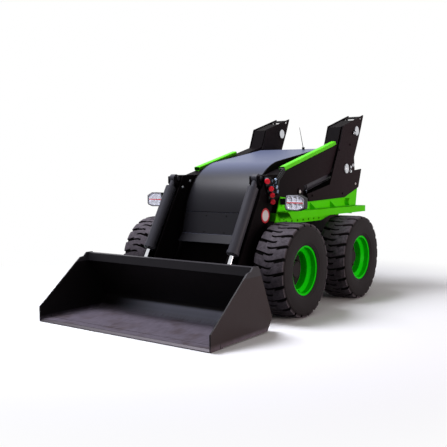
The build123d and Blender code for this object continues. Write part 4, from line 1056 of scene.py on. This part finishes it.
class LOADER_OT_stage(bpy.types.Operator):
    """Pale round floor, white surroundings, one large soft lamp overhead, a weak warm one, and the camera"""
    bl_idname = "loader.stage"
    bl_label = "Floor, light and camera"

    def execute(self, context):
        scene, stage = context.scene, context.scene.loader_stage
        rings = np.array((0.5, 1.0, 2.0, 3.0, 4.5, 7.0, 12.0, 20.0, stage.floor_radius))[:, None]
        angle = 2 * np.pi * np.arange(64) / 64
        points = np.stack([rings * np.cos(angle), rings * np.sin(angle), 0 * rings * angle], axis=-1)
        faces = [grid_faces(len(rings), 64, wrap_columns=True)[:, ::-1], np.arange(64)[None]]
        floor = placed("floor", mesh_of("floor", (points.reshape(-1, 3), faces)))
        floor.data.materials.append(self.floor_paint())
        self.surroundings(scene, stage)
        for name, place, target, size, power, colour in (
                ("key_lamp", (-2.0, -1.25, 6.3), (0.0, 0.2, 0.2), (2.8, 2.8), stage.key_power, "#F4F5FF"),
                ("side_lamp", (7.2, 0.8, 0.95), (0.5, 0.3, 0.8), (4.0, 1.5), stage.side_power, "#FFECE8")):
            self.lamp(name, place, target, size, power, colour)
        camera = placed("camera", bpy.data.cameras.new("camera"))
        camera.location = (3.7089, -5.3881, 1.2534)
        camera.rotation_euler = (math.pi / 2 - 0.073, 0.003, 0.622)
        camera.data.sensor_width = 36.0
        camera.data.lens = 677.5 / 447 * camera.data.sensor_width
        camera.data.clip_end = 200.0
        scene.camera = camera
        scene.view_settings.view_transform = "Standard"
        return {"FINISHED"}

    @staticmethod
    def lamp(name, place, target, size, power, colour):
        """A rectangular lamp at a place, turned to a target."""
        data = bpy.data.lights.new(name, "AREA")
        data.color = linear(colour)[:3]
        data.shape = "RECTANGLE"
        data.size, data.size_y = size
        data.energy = power
        lamp = placed(name, data)
        lamp.location = place
        x, y, z = np.array(target) - np.array(place)
        lamp.rotation_euler = (math.atan2(math.hypot(x, y), -z), 0.0, math.atan2(y, x) - math.pi / 2)

    @staticmethod
    def floor_paint():
        """Matt studio floor: white where it is seen, grey as a source of light from below. Further out it
        becomes as bright as the surroundings, so no horizon shows."""
        add, place = finish("studio_floor")
        seen = seen_rays(add)
        shade = add("Mix RGBA", {0: seen, MIX_A: linear("#6E6E70"), MIX_B: linear("#FCFCFC")}, MIXED)
        white = add("Emission", {"Color": WHITE, "Strength": 1.0})
        distance = add("VectorMath LENGTH", (place,), "Value")
        lit = add("Math MULTIPLY", (add("MapRange SMOOTHSTEP", (distance, 2.4, 4.2)), seen))
        both = add("MixShader", (lit, add("BsdfDiffuse", (shade,)), white))
        add("OutputMaterial", {"Surface": both}, None)
        return finishes["studio_floor"]

    @staticmethod
    def surroundings(scene, stage):
        """White to the eye, in reflections and through glass. As a source of light, a bright ceiling over dim
        walls: strength = beside + (overhead - beside) * smooth step of the direction's height."""
        world = bpy.data.worlds.new("surroundings")
        scene.world = world
        world.use_nodes = True
        world.node_tree.nodes.clear()
        add = functools.partial(add_node, world.node_tree)
        height = add("SeparateXYZ", (add("TexCoord", out="Generated"),), "Z")
        strength = add("MapRange SMOOTHSTEP", (height, 0.05, 0.95, stage.beside, stage.overhead))
        light = add("Background", {"Color": WHITE, "Strength": strength})
        white = add("Background", {"Color": WHITE, "Strength": 1.0})
        both = add("MixShader", (seen_rays(add), light, white))
        add("OutputWorld", {"Surface": both}, None)


operators = (LOADER_OT_finishes, LOADER_OT_tyres, LOADER_OT_lamps, LOADER_OT_pins,
             LOADER_OT_hydraulics, LOADER_OT_bucket_trim, LOADER_OT_fasteners, LOADER_OT_welds,
             LOADER_OT_rear, LOADER_OT_labels, LOADER_OT_stage)


class LOADER_PT_panel(bpy.types.Panel):
    """Lists the loader's pieces"""
    bl_idname = "LOADER_PT_panel"
    bl_label = "Loader"
    bl_space_type = "VIEW_3D"
    bl_region_type = "UI"
    bl_category = "Loader"

    def draw(self, context):
        for kind in operators:
            self.layout.operator(kind.bl_idname)


groups = {"loader_paint": LoaderPaint, "loader_tyre": LoaderTyre, "loader_stage": LoaderStage}


def register():
    for kind in (*groups.values(), *operators, LOADER_PT_panel):
        bpy.utils.register_class(kind)
    for name, kind in groups.items():
        setattr(bpy.types.Scene, name, bpy.props.PointerProperty(type=kind))


def unregister():
    for name in groups:
        delattr(bpy.types.Scene, name)
    for kind in (LOADER_PT_panel, *reversed(operators), *reversed(list(groups.values()))):
        bpy.utils.unregister_class(kind)


def main():
    register()
    for kind in operators:
        group, name = kind.bl_idname.split(".")
        getattr(getattr(bpy.ops, group), name)()


if __name__ == "__main__":
    main()
